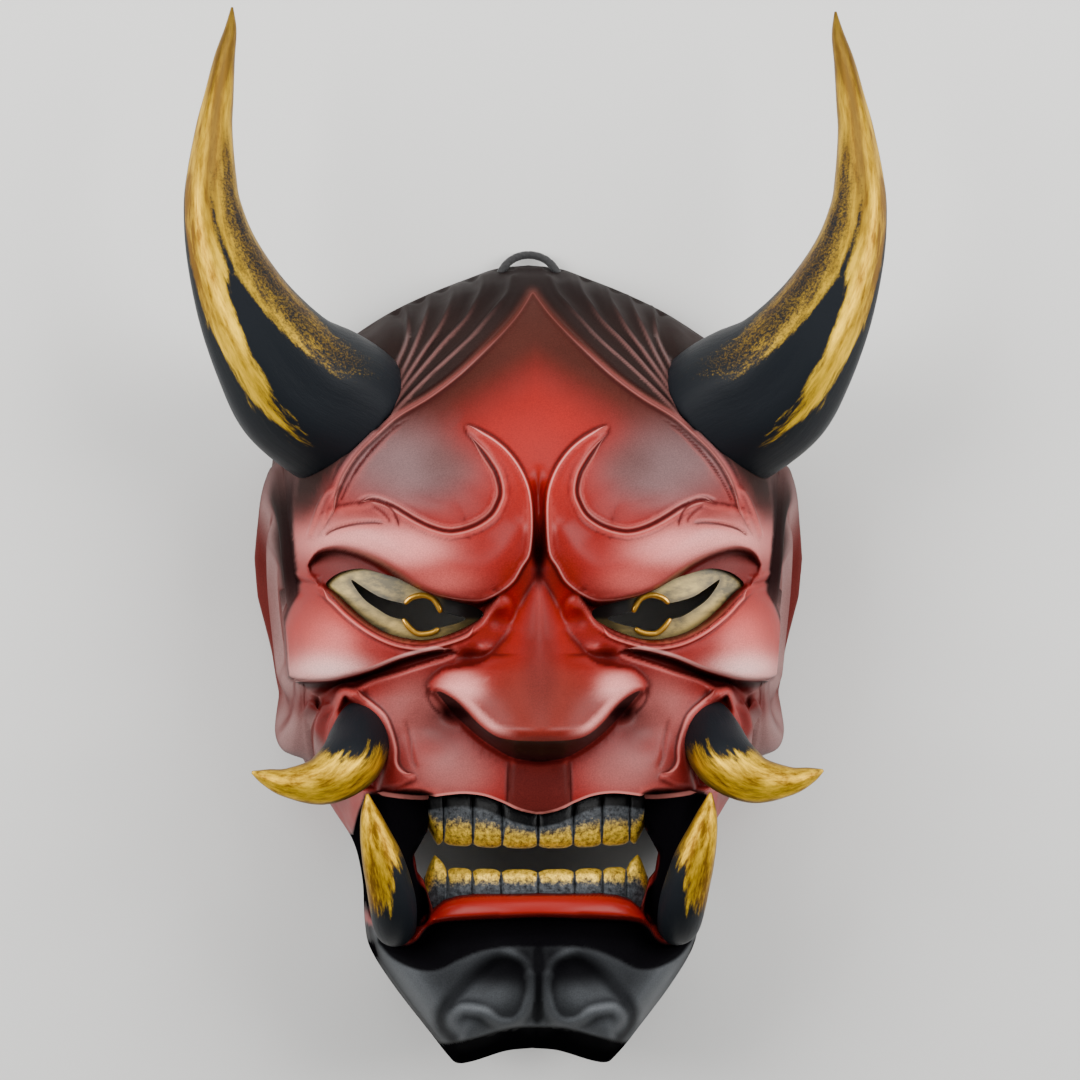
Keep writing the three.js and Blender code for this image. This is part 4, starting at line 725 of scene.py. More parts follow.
first_back = rows * columns + 1
back_grid = grid_faces(HOLLOW_RINGS, len(border), True) + first_back
back_rim = first_back + (HOLLOW_RINGS - 1) * len(border) + np.arange(len(border))
shell_points = np.vstack([front.reshape(-1, 3), middle_back, back.reshape(-1, 3)])
shell_faces = np.vstack([
    grid_faces(rows, columns, False), back_grid[:, ::-1],
    fan(rows * columns, first_back + np.arange(len(border)))[:, ::-1],
    np.concatenate([border, back_rim])[grid_faces(2, len(border), True)]])
shell_piece = made_mesh("shell", shell_points, shell_faces)


def prism_of(loop, low, high, depth):
    """A straight-sided block over an outline, whose points are brought to their true places at the
    height that depth gives for each."""
    x, y = np.asarray(loop, float).T
    at = placed(x, y, depth(x))[:, :2]
    count = len(at)
    points = np.vstack([np.column_stack([at, np.full(count, low)]),
                        np.column_stack([at, np.full(count, high)])])
    mesh = bpy.data.meshes.new("cutter")
    k = np.arange(count)
    ahead = (k + 1) % count
    walls = np.stack([k, ahead, ahead + count, k + count], -1).tolist()
    mesh.from_pydata(points * 0.001, [], walls + [k[::-1].tolist(), (k + count).tolist()])
    cutter = bpy.data.objects.new("cutter", mesh)
    bpy.context.scene.collection.objects.link(cutter)
    runs_clockwise = np.sum(x * np.roll(y, -1) - y * np.roll(x, -1)) < 0
    if runs_clockwise:
        mesh.flip_normals()
    return cutter


def solid_of(piece, steps):
    """The piece's mesh after solid operations with other pieces, which are used up."""
    for kind, other in steps:
        step = piece.modifiers.new(kind, "BOOLEAN")
        step.operation, step.solver, step.object = kind, "MANIFOLD", other
    shaped = bpy.data.meshes.new_from_object(
        piece.evaluated_get(bpy.context.evaluated_depsgraph_get()))
    piece.modifiers.clear()
    piece.data = shaped
    for _, other in steps:
        bpy.data.objects.remove(other)


def thinned(piece, most):
    """The piece's mesh with its flattest edges collapsed until it has no more triangles than most."""
    count = len(piece.data.loops) - 2 * len(piece.data.polygons)
    if count > most:
        step = piece.modifiers.new("thin", "DECIMATE")
        step.ratio = most / count
        step.use_collapse_triangulate = True
        piece.data = bpy.data.meshes.new_from_object(
            piece.evaluated_get(bpy.context.evaluated_depsgraph_get()))
        piece.modifiers.clear()


def points_of(piece):
    """The mesh's points in millimetres."""
    at = np.empty(len(piece.data.vertices) * 3, np.float32)
    piece.data.vertices.foreach_get("co", at)
    return at.reshape(-1, 3).astype(float) * 1000


def normals_of(piece):
    """The mesh's outward directions at its points."""
    at = np.empty(len(piece.data.vertices) * 3, np.float32)
    piece.data.vertex_normals.foreach_get("vector", at)
    return at.reshape(-1, 3).astype(float)


def mirrored_piece(piece, name):
    """The same piece for the other side, with its faces turned so that they still look outwards."""
    mesh = piece.data.copy()
    at = np.empty(len(mesh.vertices) * 3, np.float32)
    mesh.vertices.foreach_get("co", at)
    at = at.reshape(-1, 3) * [-1, 1, 1]
    mesh.vertices.foreach_set("co", at.astype(np.float32).ravel())
    mesh.flip_normals()
    mesh.name = name
    twin = bpy.data.objects.new(name, mesh)
    bpy.context.scene.collection.objects.link(twin)
    return twin


EAR_MIDDLE = (-27.0, 30.0)
EAR_HALF = (57.5, 25.0)
EAR_STOPS = [-85, -80, -72, -64, -58, -43, -31.5, -21.7, -7, 6.5, 31]
EAR_STANDS = [5, 9.4, 7, 3.9, 1.8, 2.8, 4.5, 6.1, 6.4, 4.8, 2.7]
EAR_ROOT = 2.2
EAR_RINGS, EAR_SPOKES = 60, 160
SIDE_LOW, SIDE_HIGH = -99.5, 26.5


def side_wall(y, z):
    """Half width of the plain shell at a height: the dome's formula solved for x."""
    power = 3.1 + 1.6 * ease(-y, -60, 0)
    ring = (1 - (z / FACE_HEIGHT) ** 2) ** (1 / power)
    level = MIDDLE_Y + (y - MIDDLE_Y) / ring
    on_side = (outline[:, 1] < SIDE_HIGH) & (outline[:, 1] > SIDE_LOW)
    stops = outline[on_side][::-1]
    return ring * np.interp(level, stops[:, 1], stops[:, 0])


def ear_surface(share, turn):
    """The ear's outer face over an oval on the side wall: it stands off by a rolled rim and an inner
    fold, each a bell across the oval's radius, and falls to a thin edge."""
    y = EAR_MIDDLE[0] + EAR_HALF[0] * share * np.sin(turn)
    z = EAR_MIDDLE[1] + EAR_HALF[1] * share * np.cos(turn)
    rear = ease(-np.cos(turn), -0.9, 0.1)
    rim = np.interp(y, EAR_STOPS, EAR_STANDS) * hump(share - 0.84, 0.26)
    fold = 3.2 * rear * hump(share - 0.48, 0.2) * ease(y, -70, -50)
    stand = 1 + rim * mixed(0.45, 1, rear) + fold + 0.02 * (EAR_MIDDLE[1] - z)
    stand *= mixed(1, 0.3, ease(share, 0.94, 1))
    return placed(side_wall(y, z) + stand, y, z)


ear_turns = 2 * np.pi * np.arange(EAR_SPOKES) / EAR_SPOKES
ear_face = ear_surface(*np.meshgrid(np.linspace(0, 1, EAR_RINGS + 1)[1:], ear_turns, indexing="ij"))
ear_y = EAR_MIDDLE[0] + EAR_HALF[0] * np.append(np.sin(ear_turns), 0)
ear_z = EAR_MIDDLE[1] + EAR_HALF[1] * np.append(np.cos(ear_turns), 0)
ear_back = placed(side_wall(ear_y, ear_z) - EAR_ROOT, ear_y, ear_z)
ear_points = np.vstack([ear_surface(np.zeros(1), np.zeros(1)), ear_face.reshape(-1, 3), ear_back])
ear_ring = 1 + np.arange(EAR_SPOKES)
ear_last = EAR_RINGS * EAR_SPOKES
ear_faces = np.vstack([grid_faces(EAR_RINGS + 1, EAR_SPOKES, True) + 1, fan(0, ear_ring),
                       fan(1 + ear_last + EAR_SPOKES, ear_last + ear_ring)[:, ::-1]])
ear_right = made_mesh("ear_right", ear_points, ear_faces)
ear_left = mirrored_piece(ear_right, "ear_left")

mouth_half = np.vstack([lip_top[lip_top[:, 0] < 42.6][::-1], MOUTH_SIDE[::-1],
                        np.array([p for p in LIP_IN if p[0] < 37])[::-1]])
mouth_loop = np.vstack([mouth_half, mouth_half[-2:0:-1] * [-1, 1]])
mouth_cutter = prism_of(mouth_loop, 20, 150, lambda x: 112 - 0.0065 * x * x)
eye_loop = drawn(EYE_HOLE, 4, True)
eye_cutter = prism_of(eye_loop, 30, 140, at_eye_level)
eye_cutter_left = mirrored_piece(eye_cutter, "cutter_left")
solid_of(shell_piece, [("UNION", ear_right), ("UNION", ear_left), ("DIFFERENCE", mouth_cutter),
                       ("DIFFERENCE", eye_cutter), ("DIFFERENCE", eye_cutter_left)])
thinned(shell_piece, MOST_TRIANGLES)
shell_piece.data.shade_smooth()
shell_piece.data.set_sharp_from_angle(angle=SHARP_FROM)

# Paints, as they look on a screen. The palest pinks, the chin's grey and the deepest reds go on mostly as
# painted highlight and painted shade.
PAINT = {
    "red": linear(128, 24, 20), "bright red": linear(142, 17, 9), "dark red": linear(84, 14, 12),
    "deep shade": linear(26, 5, 6), "pink": linear(204, 96, 90), "pale": linear(228, 146, 140),
    "grey": linear(106, 84, 84), "hair": linear(42, 31, 29), "brown": linear(62, 34, 28),
    "black": linear(7, 6, 8), "charcoal": linear(32, 33, 35), "grey chin highlight": linear(92, 95, 98),
    "maroon": linear(80, 28, 25), "ear grey": linear(132, 98, 95), "lip": linear(132, 22, 16),
    "lock ridge highlight": linear(124, 80, 76), "nose brown": linear(104, 34, 24),
    "muted pink and sheen": linear(150, 84, 80), "blush and highlight": linear(250, 196, 190),
}


def painted(points, normal):
    """Colour at each point: the casting's paint with painted highlight and painted shade laid in. Layers
    go on in
    the order of an airbrush: red all over, pink where the carving stands up, partly painted highlight,
    dark red in what lies back, mostly painted shade, then grey and black."""
    x, y = laid_out(points)
    x, z = np.abs(x), points[:, 2]
    ridge, bulk = (ease(z, 60, 84) * on_lattice(light, x, y) for light in (edge_light, form_light))
    colour = np.tile(PAINT["red"], (x.size, 1))

    def spot(at, half, power=2):
        """A soft round share of a layer."""
        return oval(x, y, at, half, power)

    def spray(name, share):
        """A layer of one paint, as thick as its share."""
        nonlocal colour
        colour = mixed(colour, PAINT[name][None, :], np.clip(share, 0, 1)[:, None])

    in_nose = depth_in(nose_area, x, y, 12)
    off_nose = ease(in_nose, 0.4, -0.4)
    cheek = depth_in(cheek_area, x, y, 12)
    lobe = depth_in(lobe_area, x, y, 12)
    in_hair = depth_in(hair_area, x, y, 14)

    # Reds and pinks of the forehead, brows, cheeks, muzzle and nose. The pinks and pales on the brows,
    # cheeks, muzzle and nose are partly the airbrush's pink and partly painted highlight of the satin
    # sheen.
    spray("bright red", 0.9 * spot((0, 38), (20, 28), 3))
    spray("bright red", 0.9 * spot((10, -26), (5.5, 14)))
    spray("bright red", 0.8 * ease(cheek, 0, 4) * spot((93, -38), (8, 15)))
    spray("pink", 0.7 * spot((56, -5), (17, 8), 3) * ease(lobe, 0, 4))
    spray("pink", 0.6 * spot((40, -17), (11, 6)) * ease(lobe, 0, 3))
    spray("pale", 0.5 * spot((54, -3), (20, 8), 3) * ease(lobe, 0, 3))
    spray("pale", 0.95 * spot((72, -1), (17, 7)))
    spray("pink", 0.75 * ease(cheek, 0, 4) * spot((79, -42), (10, 15), 3))
    spray("pale", 0.95 * ease(cheek, 0, 2.4) * spot((80, -49), (9, 7)))
    spray("blush and highlight", 0.95 * ease(cheek, 0, 1) * spot((79, -50), (12, 5)))
    spray("muted pink and sheen", 0.75 * spot((45, -64), (15, 14), 3) * off_nose * ease(-cheek, 0, 3))
    spray("muted pink and sheen", 0.7 * spot((33, -88), (16, 9), 3) * off_nose)
    spray("nose brown", 0.8 * ease(in_nose, -0.4, 1) * spot((0, -62), (26, 16), 4))
    spray("pale", 0.85 * ease(in_nose, 0, 2) * spot((30, -56), (8, 6), 3))
    spray("pale", 0.8 * hump(in_nose - 2.4, 2.4) * ease(-y, 56, 62) * ease(x, 8, 20))
    spray("maroon", 0.55 * spot((0, -46), (7, 22), 4))

    # Dark red in what lies back, mostly painted shade: on the cheek's inner half, in the eye's hollow,
    # beside the nose and under the cheek, deep red in the crease under the cheek's edge, and the philtrum
    # maroon, darker towards the nose by painted shade under it.
    spray("dark red", 0.75 * ease(cheek, -1, 2) * ease(x, 62, 40))
    spray("dark red", 0.7 * inside(eye_area, x, y, -1, 0.6))
    spray("dark red", 0.85 * off_nose * spot((33, -46), (14, 7)))
    in_crease = inside(crease_area, x, y, -0.6, 1.0)
    from_top, _ = to_line(crease_top, x, y, 16)
    spray("deep shade", in_crease * mixed(0.95, 0.45, from_top / 9) * ease(x, 96, 80))
    spray("dark red", 0.5 * spot((86, -68), (9, 14), 3))
    on_philtrum = ease(12.5 - x, -0.5, 0.5) * ease(-y, 83, 86)
    spray("maroon", 0.9 * on_philtrum)
    spray("deep shade", 0.25 * on_philtrum * ease(y, -104, -86))

    # Grey on the temple and the brow's bulb, brown towards the hair
    spray("grey", 0.9 * spot((56, 34), (24, 22), 3) * ease(x, 20, 40))
    spray("grey", 0.7 * spot((40, 26), (17, 12), 3))
    spray("brown", 0.4 * spot((34, 30), (11, 9), 3))
    spray("dark red", 0.75 * inside(HAIR_SLOT, x, y, -0.2, 0.8))
    spray("brown", 0.95 * ease(y + 0.6 * np.minimum(x, 36), 52, 78))
    spray("hair", 0.95 * ease(in_hair, 2.0, 4.2) * ease(y + 0.6 * x, 56, 78))
    spray("hair", 0.95 * ease(in_hair, 2.0, 9) * ease(y, -4, 18))
    dark_zone = ease(in_hair, 1, 3) * ease(y, 20, 40)
    # Painted shade in the hair's grooves, then black towards the crown.
    spray("black", 0.45 * dark_zone * np.clip(-ridge, 0, 1))
    spray("black", 0.5 * dark_zone * ease(y, 74, 98))
    # Painted highlight along the ridges between the locks.
    for line in locks:
        apart, along = to_line(line, x, y, 4)
        spray("lock ridge highlight", 0.8 * hump(apart, 1.0) * ease(along, 0.1, 0.6) * ease(1 - along, 0, 0.1))

    # Painted highlight on sharp ridges and painted shade in grooves, wide hollows, the nostrils and the
    # furrow between the brows. Bright red keeps the furrow's top and the bridge's side in their own paint,
    # and pink on the brow's lower edge is partly painted highlight.
    plain = (1 - dark_zone) * (1 - 0.7 * ease(in_nose, -1, 1)) * (1 - on_philtrum)
    spray("pink", 0.4 * plain * np.clip(ridge - 0.35, 0, 1) * (1 - spot((12, -92), (4, 12), 4)))
    in_furrow = hump(x, 8) * ease(y, 4, 14)
    beside_bridge = spot((10, -28), (6, 9), 3)
    spray("deep shade", 0.8 * np.clip(-ridge - 0.2, 0, 1) * (1 - 0.75 * np.maximum(in_furrow, beside_bridge)))
    spray("dark red", 0.6 * np.clip(-bulk - 0.15, 0, 1) * ease(np.hypot(x, (y - 40) / 3), 6, 12))
    spray("deep shade", 0.9 * spot((32, -66), (6.5, 3.6)) * off_nose)
    spray("deep shade", 0.5 * spot((35, -72), (10, 8)) * off_nose)
    spray("deep shade", 0.95 * hump(x, 4.0) * spot((0, -10), (4, 8), 4))
    spray("bright red", 0.8 * spot((0, 17), (4, 11), 3))
    spray("bright red", 0.5 * spot((9.7, -28), (3.5, 9), 3))
    spray("pink", 0.6 * spot((36, -17), (13, 5)) * ease(lobe, 0, 2))

    # Sides and ears: maroon on the sides; the ear's grey-pink on its faces that look up and maroon on
    # those that turn away, partly its paint and partly painted light; painted shadow in the ear's hollow,
    # under the cheek and between face and ear.
    side = ease(z, 62, 54) * ease(y, -106, -92) * ease(y, 40, 10)
    spray("maroon", 0.9 * side)
    spray("ear grey", 0.9 * side * ease(normal[:, 2], 0.1, 0.5) * ease(z, 14, 24))
    spray("hair", 0.97 * side * ease(z, 28, 40) * ease(y, -34, -12))
    spray("black", 0.5 * side * ease(z, 28, 40) * ease(y, -34, -12))
    spray("dark red", 0.8 * spot((85, -62), (9, 6), 3))
    spray("deep shade", 0.7 * hump(z - 54, 8) * ease(y, -64, -50) * ease(y, 30, 10) * ease(x, 84, 90))

    # Lips, the dark corners of the mouth and the black jaw
    spray("lip", inside(lower_lip_area, x, y, -0.5, 0.5))
    spray("black", inside(corner, x, y, -0.8, 0.2) * ease(-y, 92, 97))
    spray("lip", 0.95 * hump(to_line(cup, x, y, 4)[0], 2.8) * ease(normal[:, 2], 0.1, 0.5))
    below_lip = inside(below_lip_area, x, y, -0.3, 0.6, 12)
    spray("charcoal", below_lip)
    pad_line, _ = to_line(chin_pad, x, y, 4)
    raised = np.clip(0.2 * ridge + 0.5 * bulk, 0, 1) * (1 - hump(pad_line, 3.8) * ease(x, 8, 16))
    # Painted highlight: grey on what stands up on the chin and low in the pads' hollows.
    spray("grey chin highlight", below_lip * raised)
    spray("grey chin highlight", 0.3 * inside(pad_area, x, y, 2, 6) * ease(-y, 164, 172))
    # Painted shadow: black in the upper part of the chin pads' hollows.
    spray("black", 0.8 * inside(pad_area, x, y, -0.5, 2) * spot((15, -163), (13, 7), 3))
    # Black under the lower lip: paint, deepened by painted shade under the lip's overhang.
    spray("black", 0.97 * inside(under_lip_area, x, y, -0.6, 1.0))
    spray("black", 0.8 * below_lip * spot((0, -160), (11, 16), 4))
    spray("black", 0.98 * inside(under_chin_area, x, y, -0.8, 0.4, 12))
    # Painted shade: black wherever the surface faces down, away from the lights.
    spray("black", 0.95 * ease(normal[:, 2], 0.1, -0.3) * ease(z, 6, 20))
    return colour


CRISP_LINES = [(swirl_out, (0, 0.05), (0.26, 0.5)), (swirl_in, (0, 0.14), (0, 0.08)),
               (lip_top, (0, 0.05), (-2, -1)), (lid, (0.02, 0.1), (0.02, 0.1)),
               (crease_top, (0.02, 0.12), (0, 0.1)), (socket_band, (0, 0.08), (0, 0.15)),
               (fine_lines[1][0], (0, 0.3), (0, 0.2)), (fine_lines[2][0], (0, 0.3), (0, 0.2)),
               (fine_lines[3][0], (0, 0.3), (0, 0.2))]


def crisp_lines(points, normal):
    """Signed distances to lines where the colour changes sharply, in sets of three, and for each set
    how near it is. Most are painted highlights along rims and edges and painted shade in grooves and under
    edges. The distance to an open line is divided by its fading share, so that the line narrows to a point
    where it ends, and its sign has no meaning far off."""
    x, y = laid_out(points)
    x = np.abs(x)
    on_front = ease(normal[:, 2], -0.1, 0.1)
    apart, near = [], []
    for line, starts, ends in CRISP_LINES:
        distance, along = to_line(line, x, y, 16, signed=True)
        share = ease(along, *starts) * ease(1 - along, *ends) * on_front
        apart.append(np.clip(distance / np.maximum(share, 0.03), -9, 9))
        near.append(ease(5 - np.abs(distance), 0, 2) * ease(share, 0, 0.1))
    hair = depth_in(hair_area, x, y)
    apart += [hair / np.maximum(ease(y, 4, 24), 0.03), depth_in(lower_lip_area, x, y),
              np.minimum(depth_in(under_nose_area, x, y), -depth_in(nose_area, x, y))]
    near += [ease(5 - np.abs(hair), 0, 2) * on_front * ease(y, 4, 10) * (1 - 0.7 * ease(y, 56, 84)),
             np.ones(x.size), np.ones(x.size)]
    return np.stack(apart, -1), np.stack(near, -1)


shell_at = points_of(shell_piece)
shell_out = normals_of(shell_piece)
shell_paint = painted(shell_at, shell_out)
stored(shell_piece, "paint", shell_paint)

# Black paint lies dull and red shines. The red in the paint tells them apart.
stored(shell_piece, "gloss", 0.01 * ease(shell_paint[:, 0], 0.003, 0.01)
       + 0.17 * ease(shell_paint[:, 0], 0.02, 0.2))
line_apart, line_near = crisp_lines(shell_at, shell_out)
for number in range(4):
    stored(shell_piece, f"apart_{number}", line_apart[:, 3 * number:3 * number + 3])
    stored(shell_piece, f"near_{number}", line_near[:, 3 * number:3 * number + 3])


def place_on(tree):
    """Places on the piece in metres, as a socket."""
    return wired(tree, "ShaderNodeTexCoord").outputs["Object"]


def worked(tree, operation, a, b):
    """Two values added, taken away or multiplied."""
    return wired(tree, "ShaderNodeMath", {0: a, 1: b}, operation=operation).outputs[0]


def spread(tree, value, low, high, bottom=0.0, top=1.0, curve="LINEAR", clamp=True):
    """A value that runs from low to high, made to run from bottom to top."""
    return wired(tree, "ShaderNodeMapRange", {
        "Value": value, "From Min": low, "From Max": high, "To Min": bottom, "To Max": top},
        interpolation_type=curve, clamp=clamp).outputs[0]


def layered(tree, share, under, over):
    """One colour over another by a share, each a socket or as it looks on a screen."""
    under, over = (one if isinstance(one, bpy.types.NodeSocket) else (*linear(*one), 1)
                   for one in (under, over))
    return wired(tree, "ShaderNodeMix", {
        "Factor": share, "A": under, "B": over}, data_type="RGBA").outputs["Result"]


satin_red, tree, shader = new_material("satin red paint")
speckle = noise(tree, place_on(tree), 1900.0, 2.0)
cloud = noise(tree, place_on(tree), 42.0, 4.0)
grain = worked(tree, "MULTIPLY", spread(tree, speckle, 0.3, 0.7, 0.84, 1.16),
               spread(tree, cloud, 0.3, 0.7, 0.92, 1.08))
colour = wired(tree, "ShaderNodeVectorMath", {
    0: reading(tree, "paint", "Vector"), "Scale": grain}, operation="SCALE").outputs["Vector"]

# Each painted line: its set and place in it, where it starts and is full, where it wanes and ends,
# its colour and how well it covers. Pale lines are painted highlights along rims and edges; dark lines
# are painted shade in grooves and under edges, under the nose over black paint. The hairline's brown band
# and the lower lip's red are paint.
CRISP = [
    (3, "X", -1.6, -0.8, -0.5, 0.0, (58, 24, 22), 0.7),
    (3, "X", -0.2, 0.3, 1.2, 1.8, (100, 48, 44), 0.75),
    (3, "X", 0.2, 0.5, 0.6, 1.0, (172, 104, 98), 0.5),
    (3, "Z", -0.1, 0.4, 20.0, 21.0, (22, 4, 5), 0.97),
    (3, "Y", -0.2, 0.2, 20.0, 21.0, (134, 20, 14), 0.95),
    (0, "X", -1.1, -0.5, -0.2, 0.3, (64, 10, 9), 0.6),
    (0, "X", 0.3, 0.7, 0.9, 1.3, (226, 148, 142), 0.65),
    (0, "Y", -0.7, -0.2, 0.2, 0.7, (60, 9, 9), 0.85),
    (0, "Y", 0.7, 1.1, 1.3, 1.8, (204, 124, 116), 0.35),
    (0, "Y", -1.8, -1.4, -1.1, -0.7, (214, 136, 128), 0.4),
    (0, "Z", -1.3, -0.7, 0.4, 0.8, (206, 124, 116), 0.6),
    (1, "X", 0.2, 0.6, 0.9, 1.4, (62, 10, 9), 0.7),
    (1, "X", 1.5, 2.0, 2.2, 2.7, (218, 120, 112), 0.55),
    (1, "X", 2.8, 3.3, 3.5, 4.3, (84, 14, 12), 0.5),
    (1, "Y", -2.0, -1.0, -0.5, -0.1, (246, 186, 180), 0.45),
    (1, "Y", -0.2, 0.2, 1.4, 3.4, (26, 5, 5), 0.8),
    (1, "Z", -1.3, -0.6, -0.3, 0.1, (70, 14, 12), 0.6),
    (1, "Z", 0.1, 0.6, 0.9, 1.5, (222, 132, 124), 0.5),
    (2, "X", -0.6, -0.2, 0.2, 0.6, (84, 22, 21), 0.9),
    (2, "Y", -0.6, -0.2, 0.2, 0.6, (84, 22, 21), 0.85),
    (2, "Z", -0.5, -0.2, 0.2, 0.5, (104, 36, 34), 0.7),
]
for number, axis, start, full, wane, end, tint, cover in CRISP:
    apart, near = (wired(tree, "ShaderNodeSeparateXYZ", {
        0: reading(tree, f"{kind}_{number}", "Vector")}).outputs[axis] for kind in ("apart", "near"))
    line = worked(tree, "MULTIPLY", spread(tree, apart, start, full, 0.0, cover, "SMOOTHSTEP"),
                  spread(tree, apart, wane, end, 1.0, 0.0, "SMOOTHSTEP"))
    colour = layered(tree, worked(tree, "MULTIPLY", line, near), colour, tint)
tree.links.new(colour, shader.inputs["Base Color"])
tree.links.new(reading(tree, "gloss"), shader.inputs["Specular IOR Level"])
tree.links.new(spread(tree, cloud, 0.3, 0.7, 0.36, 0.5), shader.inputs["Roughness"])
roughened(tree, shader, speckle, 0.12, 0.0002)
wear(shell_piece, satin_red)
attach(shell_piece, "root")
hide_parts("mask_shell")

# Horns
# Two curved horns, cast hollow and fixed to the hair cap: satin black resin with gold rubbed along the
# grain, a shallow valley down the front and a bronze tip. Each row of the table is a point of the
# middle line and the radius there.
HORN = [[54, 33, 34, 26], [65, 42, 45, 28], [75.6, 49.4, 57.5, 29.5], [89.3, 58.9, 71, 27.8],
        [99.9, 71.1, 80, 23.2], [110.6, 88.5, 85, 18.3], [118.9, 108.3, 88, 13.8],
        [122.8, 125.4, 88.5, 10.9], [123.2, 138.3, 87.5, 9.2], [122.1, 155.8, 84.5, 6.9],
        [120.3, 167.4, 82, 5.6], [118, 182, 78, 4], [115.6, 193, 74.5, 2.4], [114.8, 201.6, 71, 0.5]]
HORN_SIDES, HORN_STEPS = 120, 14
SUNK = 0.5
BLOCK_FOOT = 30


def face_block():
    """The carved face as a full block a little lower than the shell, for cutting what stands on it."""
    top = front[::2, ::2] - [0, 0, SUNK]
    rows, columns = top.shape[:2]
    top = top.reshape(-1, 3)
    border = border_of(rows, columns)
    foot = top[border] * [1, 1, 0] - [0, 0, BLOCK_FOOT]
    foot_ring = len(top) + np.arange(len(foot))
    points = np.vstack([top, foot, [[0, MIDDLE_Y, -BLOCK_FOOT]]])
    faces = np.vstack([grid_faces(rows, columns, False),
                       np.concatenate([border, foot_ring])[grid_faces(2, len(foot), True)],
                       fan(len(points) - 1, foot_ring)[:, ::-1]])
    return made_mesh("block", points, faces)


def tapered(table, sides, steps, shape):
    """A horn or tusk: a closed tube along the smooth line through the table's points, whose radius is
    the table's last number times what shape gives for each angle and share of the length."""
    line = drawn(table, steps)
    route = placed(line[:, 0], line[:, 1], line[:, 2])
    radius = np.maximum(line[:, 3], 0.3)[:, None]
    share = np.linspace(0, 1, len(line))[:, None]
    return swept(route, lambda turn, run: radius * shape(turn, share), sides)


def horn_shape(turn, share):
    """A valley along the front and a weaker one beside it, both fading out at the root and the tip."""
    length = ease(share, 0.1, 0.3) * ease(1 - share, 0.05, 0.3)
    return 1 - length * (0.075 * hump(turn - 1.5, 0.5) + 0.03 * hump(turn - 2.5, 0.4))


def horn_cover(turn, run):
    """How far gold has been rubbed on, and how far it is bronze. It covers all from half way up. Lower
    down it runs on in a bright band before the outer edge and a bronze one on the inner side, with a
    black wedge between them. The valley above the wedge and the tip are bronze too. The valley's bronze
    is painted shade, and the inner band's bronze is partly painted shade of the side turned from the
    light."""
    outer = hump(turn - 2.15, mixed(0.66, 0.86, ease(run, 60, 120)))
    inner = hump(turn - 0.75, mixed(0.85, 1.0, ease(run, 60, 120)))
    start = 150 - 96 * outer ** 0.8 - 110 * inner ** 0.5
    valley = hump(turn - 1.52, mixed(0.42, 0.13, ease(run, 60, 150))) * ease(run, 165, 105)
    share = ease(run, start - 20, start + 34) * (1 - 0.6 * inner * ease(run, 210, 120)) - 0.66 * valley
    shade = 0.85 * hump(turn - 1.5, 0.5) * ease(run, 95, 150)
    bronze = 0.8 * np.maximum(inner * ease(run, 210, 130), ease(run, 150, 205))
    return share, np.maximum(bronze, shade)


def run_of(straight):
    """Angle round a tube, from 0 to two pi, and length along it, from its straightened places."""
    return np.arctan2(straight[:, 1], straight[:, 0]) % (2 * np.pi), straight[:, 2]


horn_points, horn_faces, horn_straight = tapered(HORN, HORN_SIDES, HORN_STEPS, horn_shape)
horn_right = made_mesh("horn_right_piece", horn_points, horn_faces)
stored(horn_right, "straight", horn_straight)
horn_share, horn_bronze_and_shade = horn_cover(*run_of(horn_straight))
stored(horn_right, "gold", horn_share)
# Bronze also where the horn turns away from above: painted shade on its sides.
stored(horn_right, "bronze", np.maximum(horn_bronze_and_shade, 0.8 * ease(normals_of(horn_right)[:, 2], 0.7, 0.1)))
solid_of(horn_right, [("DIFFERENCE", face_block())])
horn_right.data.shade_smooth()
horn_left = mirrored_piece(horn_right, "horn_left_piece")


def rubbed_gold(name, stretch, scale):
    """Gold rubbed over black by the stored share. Noise stretched along the grain breaks up its edge
    and its tone. Another stored share makes it bronze, partly as painted shade, and there finer flecks
    break it up instead."""
    material, tree, shader = new_material(name, Roughness=0.44, Specular_IOR_Level=0.08)
    at, brown = reading(tree, "straight", "Vector"), reading(tree, "bronze")
    pulled = wired(tree, "ShaderNodeMapping", {"Vector": at, "Scale": (1, 1, 1 / stretch)}).outputs[0]
    streak = noise(tree, pulled, scale, 9.0, 0.66)
    fleck = noise(tree, at, scale * 3.2, 6.0, 0.7)
    patchy = wired(tree, "ShaderNodeMix", {
        "Factor": brown, "A": streak, "B": fleck}, data_type="FLOAT").outputs[0]
    grain = spread(tree, patchy, 0.3, 0.7, -0.34, 0.34, clamp=False)
    cover = spread(tree, worked(tree, "ADD", reading(tree, "gold"), grain), 0.26, 0.8,
                   curve="SMOOTHSTEP")
    tone = worked(tree, "ADD", streak, noise(tree, pulled, scale * 0.22, 3.0))
    gold = layered(tree, spread(tree, tone, 0.8, 1.16), (116, 80, 12), (248, 200, 38))
    gold = layered(tree, brown, gold, (104, 78, 34))
    tree.links.new(layered(tree, cover, (23, 26, 30), gold), shader.inputs["Base Color"])
    tree.links.new(spread(tree, cover, 0.0, 1.0, 0.0, 0.6), shader.inputs["Metallic"])
    roughened(tree, shader, streak, 0.25, 0.0008)
    return material


horn_gold = rubbed_gold("horn gold over black", 9.0, 0.34)
for horn, node in ((horn_right, "horn_right"), (horn_left, "horn_left")):
    wear(horn, horn_gold)
    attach(horn, "root")
    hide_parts(node)

